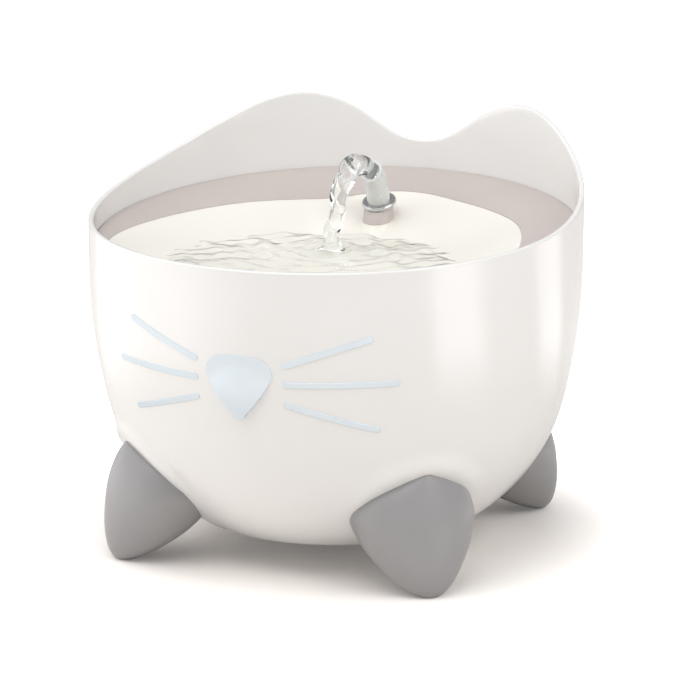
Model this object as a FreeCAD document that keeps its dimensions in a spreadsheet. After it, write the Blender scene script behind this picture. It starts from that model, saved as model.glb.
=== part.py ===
import FreeCAD, Part

import math
import os
import re

import Sketcher

Vector = FreeCAD.Vector
Rotation = FreeCAD.Rotation
Placement = FreeCAD.Placement

os.makedirs("parts", exist_ok=True)
doc = FreeCAD.newDocument("pet_fountain")

# Driving dimensions in millimetres and degrees. Heights are above the ground, front is towards -Y.
DIMENSIONS = {
    # Round shell: a straight upper wall, three tangent arcs and a flat base
    "rim_radius": 115.0,
    "wall_thickness": 2.5,
    "straight_height": 133.0,
    "side_arc_radius": 268.8,
    "side_arc_turn": 14.0,
    "belly_arc_radius": 87.9,
    "belly_arc_turn": 59.0,
    "base_corner_radius": 6.0,
    # Rim heights from the front round to the back, with two ears
    "rim_front_height": 150.2,
    "rim_cheek_height": 152.1,
    "rim_side_height": 158.9,
    "ear_foot_height": 174.4,
    "ear_slope_height": 189.4,
    "ear_tip_height": 193.8,
    "ear_inner_height": 185.0,
    "rim_back_height": 170.7,
    "rim_cheek_angle": 50.0,
    "rim_side_angle": 88.0,
    "ear_foot_angle": 119.0,
    "ear_slope_angle": 138.0,
    "ear_tip_angle": 148.5,
    "ear_inner_angle": 164.0,
    # Drinking tray: a shallow cone tilted forwards, with an eccentric round basin
    "tray_height": 146.6,
    "tray_tilt": 5.28,
    "tray_gap": 0.3,
    "deck_thickness": 2.2,
    "deck_fall": 3.0,
    "basin_offset": 19.0,
    "basin_radius": 92.0,
    "basin_lip": 0.9,
    "basin_lip_drop": 1.2,
    "basin_slope": 23.3,
    "basin_depth": 19.0,
    "basin_floor_bend": 30.0,
    "basin_wall": 2.0,
    "basin_seam_gap": 0.1,
    "flange_width": 2.1,
    "flange_drop": 4.8,
    "flange_thickness": 1.9,
    "ledge_width": 7.0,
    "ledge_thickness": 2.5,
    "ledge_front": 50.0,
    "ledge_gap": 0.6,
    "drain_width": 5.0,
    "drain_height": 2.4,
    "drain_step": 8.0,
    "drain_top_drop": 1.7,
    # Spout: a leaning collar, a bent clear tube and its pedestal on the basin
    "spout_offset": 55.0,
    "spout_height": 150.2,
    "spout_lean": 22.0,
    "spout_radius": 5.6,
    "spout_bore": 4.3,
    "spigot_radius": 5.0,
    "spigot_depth": 8.0,
    "spigot_gap": 0.08,
    "spout_straight": 7.0,
    "spout_bend_radius": 22.0,
    "spout_bend_turn": 35.0,
    "collar_radius": 8.2,
    "collar_gap": 0.3,
    "collar_below": 1.2,
    "collar_above": 0.6,
    "pedestal_top_radius": 6.6,
    "pedestal_base_radius": 9.5,
    "pedestal_depth": 14.0,
    # Riser pipe between the pump and the basin socket
    "riser_offset": 60.0,
    "riser_radius": 5.0,
    "riser_bore": 3.6,
    "riser_top": 131.0,
    "socket_radius": 8.6,
    "socket_bottom": 122.0,
    "socket_top": 140.0,
    "seal_radius": 0.66,
    "seal_gap": 0.11,
    "seal_drop": 4.0,
    "nozzle_radius": 6.5,
    "nozzle_height": 7.0,
    "nozzle_bore": 4.5,
    "cuff_gap": 0.1,
    "cuff_wall": 1.1,
    "cuff_length": 9.0,
    # Nose and whisker inserts in the front wall
    "insert_depth": 1.5,
    "insert_proud": 0.4,
    "insert_gap": 0.1,
    "nose_height": 97.2,
    "nose_corner_offset": 7.7,
    "nose_corner_height": 103.6,
    "nose_corner_radius": 8.0,
    "nose_tip_height": 85.4,
    "nose_tip_radius": 3.0,
    "nose_side_bulge": 0.8,
    "nose_dome_radius": 45.0,
    "nose_dome_height": 2.4,
    "light_pipe_radius": 8.5,
    "light_pipe_end": 107.5,
    "whisker_width": 2.9,
    "whisker_start": 20.0,
    "whisker_upper_height": 108.3,
    "whisker_upper_length": 40.2,
    "whisker_upper_angle": 19.2,
    "whisker_middle_height": 99.9,
    "whisker_middle_length": 47.2,
    "whisker_middle_angle": 0.9,
    "whisker_lower_height": 91.1,
    "whisker_lower_length": 40.7,
    "whisker_lower_angle": -17.5,
    # Light box behind the nose
    "light_box_half": 17.0,
    "light_box_bottom": 80.0,
    "light_box_top": 115.0,
    "light_box_back": 100.0,
    "light_box_wall": 2.2,
    "gasket_thickness": 0.8,
    "board_thickness": 1.6,
    "board_margin": 1.2,
    "lamp_size": 3.0,
    "lamp_height": 1.2,
    "lamp_spacing": 10.0,
    # Feet: lofted claws that hug the belly, with screws and pads
    "foot_angle": 45.0,
    "foot_reach": 114.8,
    "foot_half_width": 29.0,
    "foot_top_height": 55.0,
    "foot_seat_gap": 0.1,
    "pad_place": 106.7,
    "pad_radius": 3.2,
    "pad_thickness": 1.6,
    "pad_gap": 0.1,
    "foot_ground_gap": 0.4,
    "boss_place": 92.0,
    "boss_radius": 4.5,
    "boss_bottom": 20.0,
    "boss_top": 40.0,
    "screw_radius": 1.45,
    "screw_length": 14.0,
    "screw_head_radius": 3.0,
    "screw_head_height": 2.4,
    "screw_seat": 16.0,
    "screw_gap": 0.25,
    "head_gap": 0.4,
    # Cord inlet high in the back wall
    "inlet_height": 142.0,
    "inlet_bore": 2.0,
    "inlet_neck": 4.2,
    "inlet_flange": 5.9,
    "inlet_face": 114.8,
    "inlet_outer_thickness": 1.0,
    "inlet_inner_face": 112.2,
    "inlet_inner_thickness": 1.2,
    # Filter cartridge on the floor in front of the pump
    "filter_half_width": 38.0,
    "filter_front": -50.0,
    "filter_back": 10.0,
    "filter_height": 18.0,
    "filter_wall": 1.6,
    "filter_foot_gap": 0.2,
    "filter_lid_thickness": 1.6,
    "filter_foam_gap": 0.3,
    "filter_slot_width": 5.0,
    "filter_slot_pitch": 11.0,
    "filter_slot_length": 46.0,
    "filter_tab_height": 8.0,
    "filter_tab_half": 8.0,
    # Pump: housing, motor and impeller on an axis along Y
    "pump_half_width": 20.0,
    "pump_bottom": 21.5,
    "pump_top": 60.0,
    "pump_front": 22.0,
    "pump_back": 65.0,
    "pump_wall": 1.6,
    "rotor_height": 43.0,
    "rotor_radius": 6.6,
    "rotor_gap": 0.6,
    "well_wall": 1.2,
    "well_end": 25.8,
    "chamber_radius": 13.0,
    "chamber_front": 55.0,
    "motor_back": 50.0,
    "motor_cap_thickness": 1.8,
    "shaft_radius": 1.0,
    "shaft_gap": 0.05,
    "bush_radius": 3.0,
    "bush_length": 2.6,
    "rotor_front": 29.0,
    "blade_count": 6,
    "blade_reach": 11.5,
    "blade_thickness": 1.2,
    "blade_back": 62.6,
    "hub_radius": 3.2,
    "core_half_width": 13.9,
    "core_limb": 5.0,
    "core_bottom": 26.5,
    "core_top": 52.0,
    "core_front": 30.0,
    "core_back": 46.0,
    "coil_half_width": 7.5,
    "coil_wall": 2.2,
    "coil_gap": 0.1,
    "cover_thickness": 3.0,
    "cover_screw_inset": 3.2,
    "cover_screw_radius": 1.1,
    "cover_screw_length": 8.0,
    "cover_head_radius": 2.0,
    "cover_head_height": 1.4,
    "cover_screw_gap": 0.1,
    "intake_radius": 2.0,
    "intake_circle": 8.0,
    "intake_count": 6,
    "sponge_half_width": 14.0,
    "sponge_thickness": 8.0,
    "sponge_bottom": 30.0,
    "sponge_top": 56.0,
    "cup_radius": 7.0,
    "cup_neck_radius": 3.0,
    "cup_offset": 13.0,
    "cup_front": 34.0,
    "cup_back": 52.0,
    "cup_stem_radius": 1.8,
    "cup_stem_length": 1.4,
    "dial_radius": 6.0,
    "dial_thickness": 3.0,
    "dial_place": 60.0,
    "dial_height": 34.0,
    "dial_gap": 0.3,
    "dial_pin_radius": 1.5,
    "dial_pin_length": 5.0,
    "dial_pin_gap": 0.06,
    "dial_grip_width": 2.0,
    "dial_grip_height": 1.5,
}

sizes = doc.addObject("Spreadsheet::Sheet", "sizes")
for row, (alias, number) in enumerate(DIMENSIONS.items(), start=1):
    sizes.set(f"A{row}", alias)
    sizes.set(f"B{row}", str(number))
    sizes.setAlias(f"B{row}", alias)
doc.recompute()

ALIAS = re.compile(r"[a-z]+(?:_[a-z]+)+")
MARGIN = 1.0
BEYOND = 60.0
RIM_STEPS = 24
pieces = {}


def bind(item, prop, text):
    """Ties a property to an expression written with the sheet's aliases."""
    item.setExpression(prop, ALIAS.sub(lambda found: "sizes." + found.group(), str(text)))


def block(name, low, high):
    """A box between two corners, each given as three expressions."""
    box = doc.addObject("Part::Box", name)
    for axis, edge, start, end in zip("xyz", ("Length", "Width", "Height"), low, high):
        bind(box, edge, f"({end}) - ({start})")
        bind(box, f"Placement.Base.{axis}", start)
    return box


TURNS = {
    "x": Rotation(Vector(0, 1, 0), 90),
    "y": Rotation(Vector(1, 0, 0), -90),
    "z": Rotation(),
}


def rod(name, radius, at, length, axis="z"):
    """A cylinder that starts at a point and runs along a positive axis."""
    cylinder = doc.addObject("Part::Cylinder", name)
    cylinder.Placement = Placement(Vector(), TURNS[axis])
    bind(cylinder, "Radius", radius)
    bind(cylinder, "Height", length)
    for letter, place in zip("xyz", at):
        bind(cylinder, f"Placement.Base.{letter}", place)
    return cylinder


def cone(name, low_radius, high_radius, length):
    """A cone along Z from the origin, placed afterwards."""
    solid = doc.addObject("Part::Cone", name)
    bind(solid, "Radius1", low_radius)
    bind(solid, "Radius2", high_radius)
    bind(solid, "Height", length)
    return solid


def join(name, *solids):
    fused = doc.addObject("Part::MultiFuse", name)
    fused.Shapes = list(solids)
    return fused


def cut(name, base, *tools):
    """Takes the tools away from the base, first joined when there are several."""
    result = doc.addObject("Part::Cut", name)
    result.Base = base
    result.Tool = tools[0] if len(tools) == 1 else join(name + "_tools", *tools)
    return result


def common(name, base, tool):
    result = doc.addObject("Part::Common", name)
    result.Base = base
    result.Tool = tool
    return result


def segment(start, end, radius=0.0):
    """A line, or an arc of under a half circle that bulges to the right of its run."""
    if not radius:
        return Part.LineSegment(start, end)
    chord = end - start
    rise = abs(radius) - math.sqrt(radius ** 2 - chord.Length ** 2 / 4)
    side = Vector(chord.y, -chord.x, 0).normalize() * math.copysign(rise, radius)
    return Part.Arc(start, (start + end) / 2 + side, end)


def turned_body(name, outline, placement=None):
    """A body of revolution about Z from corners (r, z) or (r, z, radius of the arc to the next)."""
    body = doc.addObject("PartDesign::Body", name)
    plane = next(item for item in body.Origin.OriginFeatures if item.Role == "XZ_Plane")
    sketch = body.newObject("Sketcher::SketchObject", name + "_outline")
    sketch.AttachmentSupport = [(plane, "")]
    sketch.MapMode = "FlatFace"
    for here, following in zip(outline, outline[1:] + outline[:1]):
        radius = here[2] if len(here) > 2 else 0.0
        line = segment(Vector(here[0], here[1], 0), Vector(following[0], following[1], 0), radius)
        number = sketch.addGeometry(line)
        sketch.addConstraint(Sketcher.Constraint("Block", number))
    turn = body.newObject("PartDesign::Revolution", name + "_turn")
    turn.Profile = sketch
    turn.ReferenceAxis = (sketch, ["V_Axis"])
    turn.Angle = 360.0
    sketch.Visibility = False
    if placement is not None:
        body.Placement = placement
    return body


def keep(name, solid):
    """Names a finished sub-part."""
    solid.Label = name
    pieces[name] = solid
    return solid


def radians(alias):
    return math.radians(getattr(sizes, alias))


# Shell profile: each skin is the outer surface moved outwards by a signed distance

SIDE_TURN = radians("side_arc_turn")
BELLY_TURN = radians("belly_arc_turn")
SIDE_CENTRE = Vector(sizes.rim_radius - sizes.side_arc_radius, sizes.straight_height, 0)
BELLY_CENTRE = SIDE_CENTRE + Vector(math.cos(SIDE_TURN), -math.sin(SIDE_TURN), 0) * (
    sizes.side_arc_radius - sizes.belly_arc_radius)
CORNER_CENTRE = BELLY_CENTRE + Vector(math.cos(BELLY_TURN), -math.sin(BELLY_TURN), 0) * (
    sizes.belly_arc_radius - sizes.base_corner_radius)
BASE_HEIGHT = CORNER_CENTRE.y - sizes.base_corner_radius
FLOOR_HEIGHT = BASE_HEIGHT + sizes.wall_thickness
SKIN_TOP = sizes.ear_tip_height + 6.0


def skin(name, offset, top=SKIN_TOP):
    """A solid bounded by the shell's outer surface moved outwards by the offset."""
    belly_end = CORNER_CENTRE + Vector(math.cos(BELLY_TURN), -math.sin(BELLY_TURN), 0) * (
        sizes.base_corner_radius + offset)
    side_end = SIDE_CENTRE + Vector(math.cos(SIDE_TURN), -math.sin(SIDE_TURN), 0) * (
        sizes.side_arc_radius + offset)
    return turned_body(name, [
        (0.0, BASE_HEIGHT - offset),
        (CORNER_CENTRE.x, BASE_HEIGHT - offset, sizes.base_corner_radius + offset),
        (belly_end.x, belly_end.y, sizes.belly_arc_radius + offset),
        (side_end.x, side_end.y, sizes.side_arc_radius + offset),
        (sizes.rim_radius + offset, sizes.straight_height),
        (sizes.rim_radius + offset, top),
        (0.0, top),
    ])


outer_skin = skin("outer_skin", 0.0)
inner_skin = skin("inner_skin", -sizes.wall_thickness, SKIN_TOP + MARGIN)
insert_floor = skin("insert_floor", -sizes.insert_depth)
pocket_floor = skin("pocket_floor", -sizes.insert_depth - sizes.insert_gap)
insert_face = skin("insert_face", sizes.insert_proud)
gasket_face = skin("gasket_face", -sizes.wall_thickness - sizes.gasket_thickness)
foot_seat = skin("foot_seat", sizes.foot_seat_gap)

TRAY_PLACE = Placement(Vector(0, 0, sizes.tray_height), Rotation(Vector(1, 0, 0), sizes.tray_tilt))
BASIN_PLACE = TRAY_PLACE * Placement(Vector(0, -sizes.basin_offset, 0), Rotation())
SPOUT_PLACE = Placement(Vector(0, sizes.spout_offset, sizes.spout_height),
                        Rotation(Vector(1, 0, 0), sizes.spout_lean))


# Rim: everything above a wavy ring is cut away

def rim_drawn_flat():
    """Angles and heights along half of the rim, from the front to the back, spaced evenly."""
    names = ("rim_cheek", "rim_side", "ear_foot", "ear_slope", "ear_tip", "ear_inner")
    stations = [(0.0, sizes.rim_front_height)]
    stations += [(getattr(sizes, name + "_angle"), getattr(sizes, name + "_height")) for name in names]
    stations += [(180.0, sizes.rim_back_height)]
    flat = Part.BSplineCurve()
    flat.interpolate(
        Points=[Vector(sizes.rim_radius * math.radians(angle), height, 0) for angle, height in stations],
        InitialTangent=Vector(1, 0, 0), FinalTangent=Vector(1, 0, 0))
    return [(point.x / sizes.rim_radius, point.y) for point in flat.discretize(Number=RIM_STEPS)]


def rim_ring(radius):
    """The curve of the rim's heights round one radius."""
    right = rim_drawn_flat()
    left = [(-turn, height) for turn, height in reversed(right[1:-1])]
    ring = Part.BSplineCurve()
    ring.interpolate(
        Points=[Vector(radius * math.sin(turn), -radius * math.cos(turn), height) for turn, height in right + left],
        PeriodicFlag=True)
    return ring.toShape()


rim_cutter = doc.addObject("Part::Feature", "rim_cutter")
rim_cutter.Shape = Part.makeRuledSurface(
    rim_ring(sizes.rim_radius - sizes.wall_thickness - MARGIN),
    rim_ring(sizes.rim_radius + MARGIN)).extrude(Vector(0, 0, BEYOND))

# Ledge that carries the tray, left open at the front where the basin reaches the wall

LEDGE_INNER = "rim_radius - wall_thickness - ledge_width"


def tray_rod(name, radius, top, length):
    """A cylinder square to the tray that ends at a height below its edge."""
    cylinder = rod(name, radius, ("0", "0", "0"), length)
    for letter in "xyz":
        cylinder.setExpression(f"Placement.Base.{letter}", None)
    cylinder.Placement = TRAY_PLACE * Placement(Vector(0, 0, top), Rotation())
    return cylinder


LEDGE_LOW = -sizes.deck_thickness - sizes.ledge_gap - sizes.ledge_thickness
ledge_disc = tray_rod("ledge_disc", "rim_radius - wall_thickness / 2", LEDGE_LOW, "ledge_thickness")
ledge_hole = tray_rod("ledge_hole", LEDGE_INNER, LEDGE_LOW - MARGIN, "ledge_thickness + 2")
ledge_front = block("ledge_front_clear",
                    ("-rim_radius", "-rim_radius", "tray_height - 40"),
                    ("rim_radius", "-ledge_front", "tray_height + 10"))
ledge = cut("ledge", ledge_disc, ledge_hole, ledge_front)


# Nose and whisker outlines, seen straight from the front

def nose_prism(name, growth):
    """The nose's outline, a rounded shield, drawn out through the front wall."""
    corner = Vector(sizes.nose_corner_offset, sizes.nose_corner_height, 0)
    tip = Vector(0, sizes.nose_tip_height, 0)
    corner_radius = sizes.nose_corner_radius + growth
    tip_radius = sizes.nose_tip_radius + growth
    along = tip - corner
    lean = math.atan2(along.x, -along.y) + math.asin((corner_radius - tip_radius) / along.Length)
    side = Vector(math.cos(lean), -math.sin(lean), 0)
    side = Vector(abs(side.x), -abs(side.y), 0)
    shoulder = corner + side * corner_radius
    flank = tip + side * tip_radius
    top = corner + Vector(0, corner_radius, 0)

    def mirrored(point):
        return Vector(-point.x, point.y, 0)

    def bulged(start, end, bulge):
        outwards = Vector(end.y - start.y, start.x - end.x, 0).normalize()
        return Part.Arc(start, (start + end) / 2 + outwards * bulge, end)

    edges = [
        Part.Arc(mirrored(flank), tip - Vector(0, tip_radius, 0), flank),
        bulged(flank, shoulder, sizes.nose_side_bulge),
        Part.Arc(shoulder, corner + Vector(1, 0.6, 0).normalize() * corner_radius, top),
        bulged(top, mirrored(top), sizes.nose_side_bulge / 2),
        Part.Arc(mirrored(top), mirrored(corner + Vector(1, 0.6, 0).normalize() * corner_radius),
                 mirrored(shoulder)),
        bulged(mirrored(shoulder), mirrored(flank), sizes.nose_side_bulge),
    ]
    upright = Placement(Vector(0, -sizes.rim_radius - 6, 0), Rotation(Vector(1, 0, 0), 90))
    outline = Part.Wire([edge.toShape() for edge in edges])
    outline.Placement = upright
    prism = doc.addObject("Part::Feature", name)
    prism.Shape = Part.Face(outline).extrude(Vector(0, 20, 0))
    return prism


def whisker_bar(name, side, level, growth):
    """A round-ended bar through the front wall, at one level on one side."""
    start = getattr(sizes, f"whisker_{level}_height")
    length = getattr(sizes, f"whisker_{level}_length")
    angle = getattr(sizes, f"whisker_{level}_angle")
    half = sizes.whisker_width / 2 + growth
    first = Vector(sizes.whisker_width / 2, 0, 0)
    last = Vector(length - sizes.whisker_width / 2, 0, 0)
    across = Vector(0, half, 0)
    edges = [
        Part.LineSegment(first - across, last - across),
        Part.Arc(last - across, last + Vector(half, 0, 0), last + across),
        Part.LineSegment(last + across, first + across),
        Part.Arc(first + across, first - Vector(half, 0, 0), first - across),
    ]
    outline = Part.Wire([edge.toShape() for edge in edges])
    upright = Placement(Vector(), Rotation(Vector(1, 0, 0), 90))
    slope = Placement(Vector(), Rotation(Vector(0, 0, 1), angle if side > 0 else 180 - angle))
    outline.Placement = Placement(
        Vector(side * sizes.whisker_start, -sizes.rim_radius - 6, start), Rotation()) * upright * slope
    bar = doc.addObject("Part::Feature", name)
    bar.Shape = Part.Face(outline).extrude(Vector(0, 30, 0))
    return bar


WHISKERS = [(side, level) for side in (-1, 1) for level in ("upper", "middle", "lower")]


def whisker_name(side, level):
    return f"whisker_{'left' if side < 0 else 'right'}_{level}"


for side, level in WHISKERS:
    name = whisker_name(side, level)
    bar = whisker_bar(name + "_bar", side, level, 0.0)
    keep(name, cut(name, common(name + "_slab", bar, insert_face), insert_floor))

nose_dome = doc.addObject("Part::Sphere", "nose_dome")
bind(nose_dome, "Radius", "nose_dome_radius")
NOSE_WALL = SIDE_CENTRE.x + math.sqrt(
    sizes.side_arc_radius ** 2 - (sizes.nose_height - sizes.straight_height) ** 2)
nose_dome.Placement = Placement(
    Vector(0, sizes.nose_dome_radius - NOSE_WALL - sizes.nose_dome_height, sizes.nose_height), Rotation())
nose_cap = cut("nose_cap", common("nose_front", nose_prism("nose_prism", 0.0), nose_dome), insert_floor)
light_pipe = rod("light_pipe", "light_pipe_radius",
                 ("0", "-(rim_radius - wall_thickness - insert_depth)", "nose_height"),
                 "rim_radius - wall_thickness - insert_depth - light_pipe_end", "y")
keep("nose_lens", join("nose_lens", nose_cap, light_pipe))

pocket_bars = [nose_prism("nose_pocket_prism", sizes.insert_gap)]
pocket_bars += [whisker_bar(f"{whisker_name(side, level)}_pocket", side, level, sizes.insert_gap)
                for side, level in WHISKERS]
insert_pockets = cut("insert_pockets", join("insert_prisms", *pocket_bars), pocket_floor)
pipe_hole = rod("pipe_hole", "light_pipe_radius + insert_gap", ("0", "-rim_radius - 1", "nose_height"),
                "20", "y")


# Foot screws and the bosses that take them

FOOT_TURNS = {
    "front_right": -sizes.foot_angle,
    "front_left": sizes.foot_angle - 180.0,
    "rear_right": sizes.foot_angle,
    "rear_left": 180.0 - sizes.foot_angle,
}


def round_the_base(name, solid):
    """Four joined copies of a solid, one at each foot."""
    copies = []
    for corner, turn in FOOT_TURNS.items():
        copy = doc.addObject("Part::Feature", f"{name}_{corner}")
        copy.Shape = solid.Shape
        copy.Placement = Placement(Vector(), Rotation(Vector(0, 0, 1), turn)) * solid.Placement
        copies.append(copy)
    return join(name, *copies)


def group_round_the_base(name, solid):
    """Four separate copies of a solid in one compound, one at each foot."""
    group = doc.addObject("Part::Feature", name)
    group.Shape = Part.makeCompound([
        solid.Shape.copy().transformed(Rotation(Vector(0, 0, 1), turn).toMatrix(), True)
        for turn in FOOT_TURNS.values()])
    return group


boss = rod("boss", "boss_radius", ("boss_place", "0", "boss_bottom"), "boss_top - boss_bottom")
pilot = rod("pilot", "screw_radius + screw_gap / 5", ("boss_place", "0", "boss_bottom - 1"),
            "screw_seat + screw_length + 1 - boss_bottom + 1")
doc.recompute()
bosses = round_the_base("bosses", boss)
pilots = round_the_base("pilots", pilot)


# Shell

inlet_hole = rod("inlet_hole", "inlet_neck", ("0", "rim_radius - 10", "inlet_height"), "20", "y")
inlet_seat = rod("inlet_seat", "inlet_flange + 0.1",
                 ("0", "inlet_face - inlet_outer_thickness", "inlet_height"), "20", "y")
shell_wall = cut("shell_wall", join("shell_blank", outer_skin, bosses), inner_skin)
shell_body = join("shell_body", shell_wall, ledge)
keep("shell", cut("shell", shell_body, rim_cutter, insert_pockets, pipe_hole, pilots, inlet_hole, inlet_seat))

inlet_parts = [
    rod("inlet_outer", "inlet_flange",
        ("0", "inlet_face - inlet_outer_thickness", "inlet_height"), "inlet_outer_thickness", "y"),
    rod("inlet_neck_rod", "inlet_neck", ("0", "inlet_inner_face - inlet_inner_thickness", "inlet_height"),
        "inlet_face - inlet_inner_face + inlet_inner_thickness", "y"),
    rod("inlet_inner", "inlet_flange", ("0", "inlet_inner_face - inlet_inner_thickness", "inlet_height"),
        "inlet_inner_thickness", "y"),
]
inlet_bore = rod("inlet_bore_rod", "inlet_bore", ("0", "rim_radius - 10", "inlet_height"), "20", "y")
keep("cord_grommet", cut("cord_grommet", join("grommet_blank", *inlet_parts), inlet_bore))


# Feet: ellipses (height, inner reach, outer reach, half width) lofted into a claw

FOOT_SECTIONS = [
    (sizes.foot_ground_gap, 101.5, sizes.foot_reach - 3.8, 5.4),
    (2.5, 95.5, sizes.foot_reach - 2.3, 9.5),
    (6.0, 87.5, sizes.foot_reach - 0.9, 14.0),
    (13.0, 76.0, sizes.foot_reach, 20.0),
    (22.0, 67.0, sizes.foot_reach - 0.5, 25.6),
    (34.0, 60.0, sizes.foot_reach - 2.4, sizes.foot_half_width),
    (44.0, 64.0, sizes.foot_reach - 5.4, sizes.foot_half_width - 4.0),
    (51.0, 76.0, sizes.foot_reach - 8.0, sizes.foot_half_width - 14.0),
    (sizes.foot_top_height, 92.0, sizes.foot_reach - 9.8, 4.0),
]


def foot_section(height, inner, outer, half_width):
    """A closed ellipse in a level plane, its seam always on the outer side."""
    reach = (outer - inner) / 2
    centre = Vector((outer + inner) / 2, 0, height)
    circle = Part.Circle(Vector(), Vector(0, 0, 1), 1.0).toShape()
    stretch = FreeCAD.Matrix()
    stretch.scale(reach, half_width, 1.0)
    ellipse = circle.transformGeometry(stretch)
    ellipse.translate(centre)
    return Part.Wire([ellipse])


foot_claw = doc.addObject("Part::Feature", "foot_claw")
foot_claw.Shape = Part.makeLoft([foot_section(*row) for row in FOOT_SECTIONS], True, False)
boss_room = rod("boss_room", "boss_radius + screw_gap", ("boss_place", "0", "boss_bottom - screw_gap"), "30")
screw_way = rod("screw_way", "screw_radius + screw_gap", ("boss_place", "0", "0"), "boss_bottom")
head_way = rod("head_way", "screw_head_radius + head_gap", ("boss_place", "0", "-1"), "screw_seat + 1")
pad_room = rod("pad_room", "pad_radius + pad_gap", ("pad_place", "0", "-1"), "pad_thickness + 1")
foot_form = cut("foot_form", foot_claw, foot_seat, boss_room, screw_way, head_way, pad_room)
pad_form = rod("pad_form", "pad_radius", ("pad_place", "0", "0"), "pad_thickness")
screw_head = rod("screw_head", "screw_head_radius", ("boss_place", "0", "screw_seat - screw_head_height"),
                 "screw_head_height")
screw_shank = rod("screw_shank", "screw_radius", ("boss_place", "0", "screw_seat - 1"), "screw_length + 1")
screw_socket = rod("screw_socket", "screw_radius", ("boss_place", "0", "screw_seat - screw_head_height - 1"),
                   "2.2")
screw_form = cut("screw_form", join("screw_blank", screw_head, screw_shank), screw_socket)
doc.recompute()

for corner, turn in FOOT_TURNS.items():
    for node, form in (("foot", foot_form), ("foot_pad", pad_form)):
        copy = doc.addObject("Part::Feature", f"{node}_{corner}")
        copy.Shape = form.Shape
        copy.Placement = Placement(Vector(), Rotation(Vector(0, 0, 1), turn)) * form.Placement
        keep(f"{node}_{corner}", copy)
keep("foot_screws", group_round_the_base("foot_screws", screw_form))


# Light box behind the nose

BOX = "light_box_half"
box_blank = block("light_box_blank", (f"-{BOX}", "-rim_radius", "light_box_bottom"),
                  (BOX, "-light_box_back", "light_box_top"))
box_room = block("light_box_room",
                 (f"light_box_wall - {BOX}", "-rim_radius - 1", "light_box_bottom + light_box_wall"),
                 (f"{BOX} - light_box_wall", "-light_box_back - light_box_wall",
                  "light_box_top - light_box_wall"))
box_frame = cut("light_box_frame", box_blank, box_room)
keep("light_housing", common("light_housing", box_frame, gasket_face))
keep("light_gasket", cut("light_gasket", common("gasket_slab", box_frame, inner_skin), gasket_face))
BOARD_HALF = f"{BOX} - light_box_wall - board_margin"
keep("light_board", block(
    "light_board",
    (f"-({BOARD_HALF})", "-light_box_back - light_box_wall - board_thickness",
     "light_box_bottom + light_box_wall + board_margin"),
    (BOARD_HALF, "-light_box_back - light_box_wall", "light_box_top - light_box_wall - board_margin")))
lamps = [block(f"lamp_{number}",
               (f"{number} * lamp_spacing - lamp_size / 2",
                "-light_box_back - light_box_wall - board_thickness - lamp_height",
                "nose_height - lamp_size / 2"),
               (f"{number} * lamp_spacing + lamp_size / 2",
                "-light_box_back - light_box_wall - board_thickness",
                "nose_height + lamp_size / 2"))
         for number in (-1, 0, 1)]
light_lamps = doc.addObject("Part::Compound", "light_lamps")
light_lamps.Links = lamps
keep("light_lamps", light_lamps)


# Drinking tray

DECK_RADIUS = sizes.rim_radius - sizes.wall_thickness - sizes.tray_gap
DECK_DROP = DECK_RADIUS * math.tan(radians("deck_fall"))
deck_disc = turned_body("deck_disc", [
    (0.0, -DECK_DROP),
    (DECK_RADIUS, 0.0),
    (DECK_RADIUS, -sizes.deck_thickness),
    (0.0, -DECK_DROP - sizes.deck_thickness),
], TRAY_PLACE)
deck_envelope = turned_body("deck_envelope", [
    (0.0, -DECK_DROP),
    (DECK_RADIUS, 0.0),
    (DECK_RADIUS, -BEYOND),
    (0.0, -BEYOND),
], TRAY_PLACE)
deck_hole = turned_body("deck_hole", [
    (0.0, -BEYOND),
    (sizes.basin_radius + sizes.basin_seam_gap, -BEYOND),
    (sizes.basin_radius + sizes.basin_seam_gap, BEYOND),
    (0.0, BEYOND),
], BASIN_PLACE)
keep("tray_deck", cut("tray_deck", deck_disc, deck_hole))


def basin_outline(offset, lip_radius, top, depth):
    """The sloping side and flat floor of the basin, with a bend between them."""
    slope = radians("basin_slope")
    bend = sizes.basin_floor_bend + offset
    drop = sizes.basin_lip_drop + offset / math.cos(slope)
    corner = sizes.basin_radius - sizes.basin_lip - (depth - drop) / math.tan(slope)
    reach = bend * math.tan(slope / 2)
    lip_drop = drop - (lip_radius - sizes.basin_radius + sizes.basin_lip) * math.tan(slope)
    return [
        (0.0, -depth),
        (corner - reach, -depth, bend),
        (corner + reach * math.cos(slope), -depth + reach * math.sin(slope)),
        (lip_radius, -lip_drop),
        (lip_radius, top),
        (0.0, top),
    ]


basin_outer = turned_body("basin_outer", basin_outline(
    sizes.basin_wall, sizes.basin_radius, 4.0, sizes.basin_depth + sizes.basin_wall), BASIN_PLACE)
basin_cavity = turned_body("basin_cavity", basin_outline(
    0.0, sizes.basin_radius - sizes.basin_lip, 6.0, sizes.basin_depth), BASIN_PLACE)
basin_flange = turned_body("basin_flange", [
    (sizes.basin_radius - 8.0, -sizes.flange_drop - sizes.flange_thickness),
    (sizes.basin_radius + sizes.flange_width, -sizes.flange_drop - sizes.flange_thickness),
    (sizes.basin_radius + sizes.flange_width, -sizes.flange_drop),
    (sizes.basin_radius, -sizes.flange_drop),
    (sizes.basin_radius, -sizes.basin_lip_drop - 1.0),
    (sizes.basin_radius - sizes.basin_lip, -sizes.basin_lip_drop - 1.0),
], BASIN_PLACE)

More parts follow.
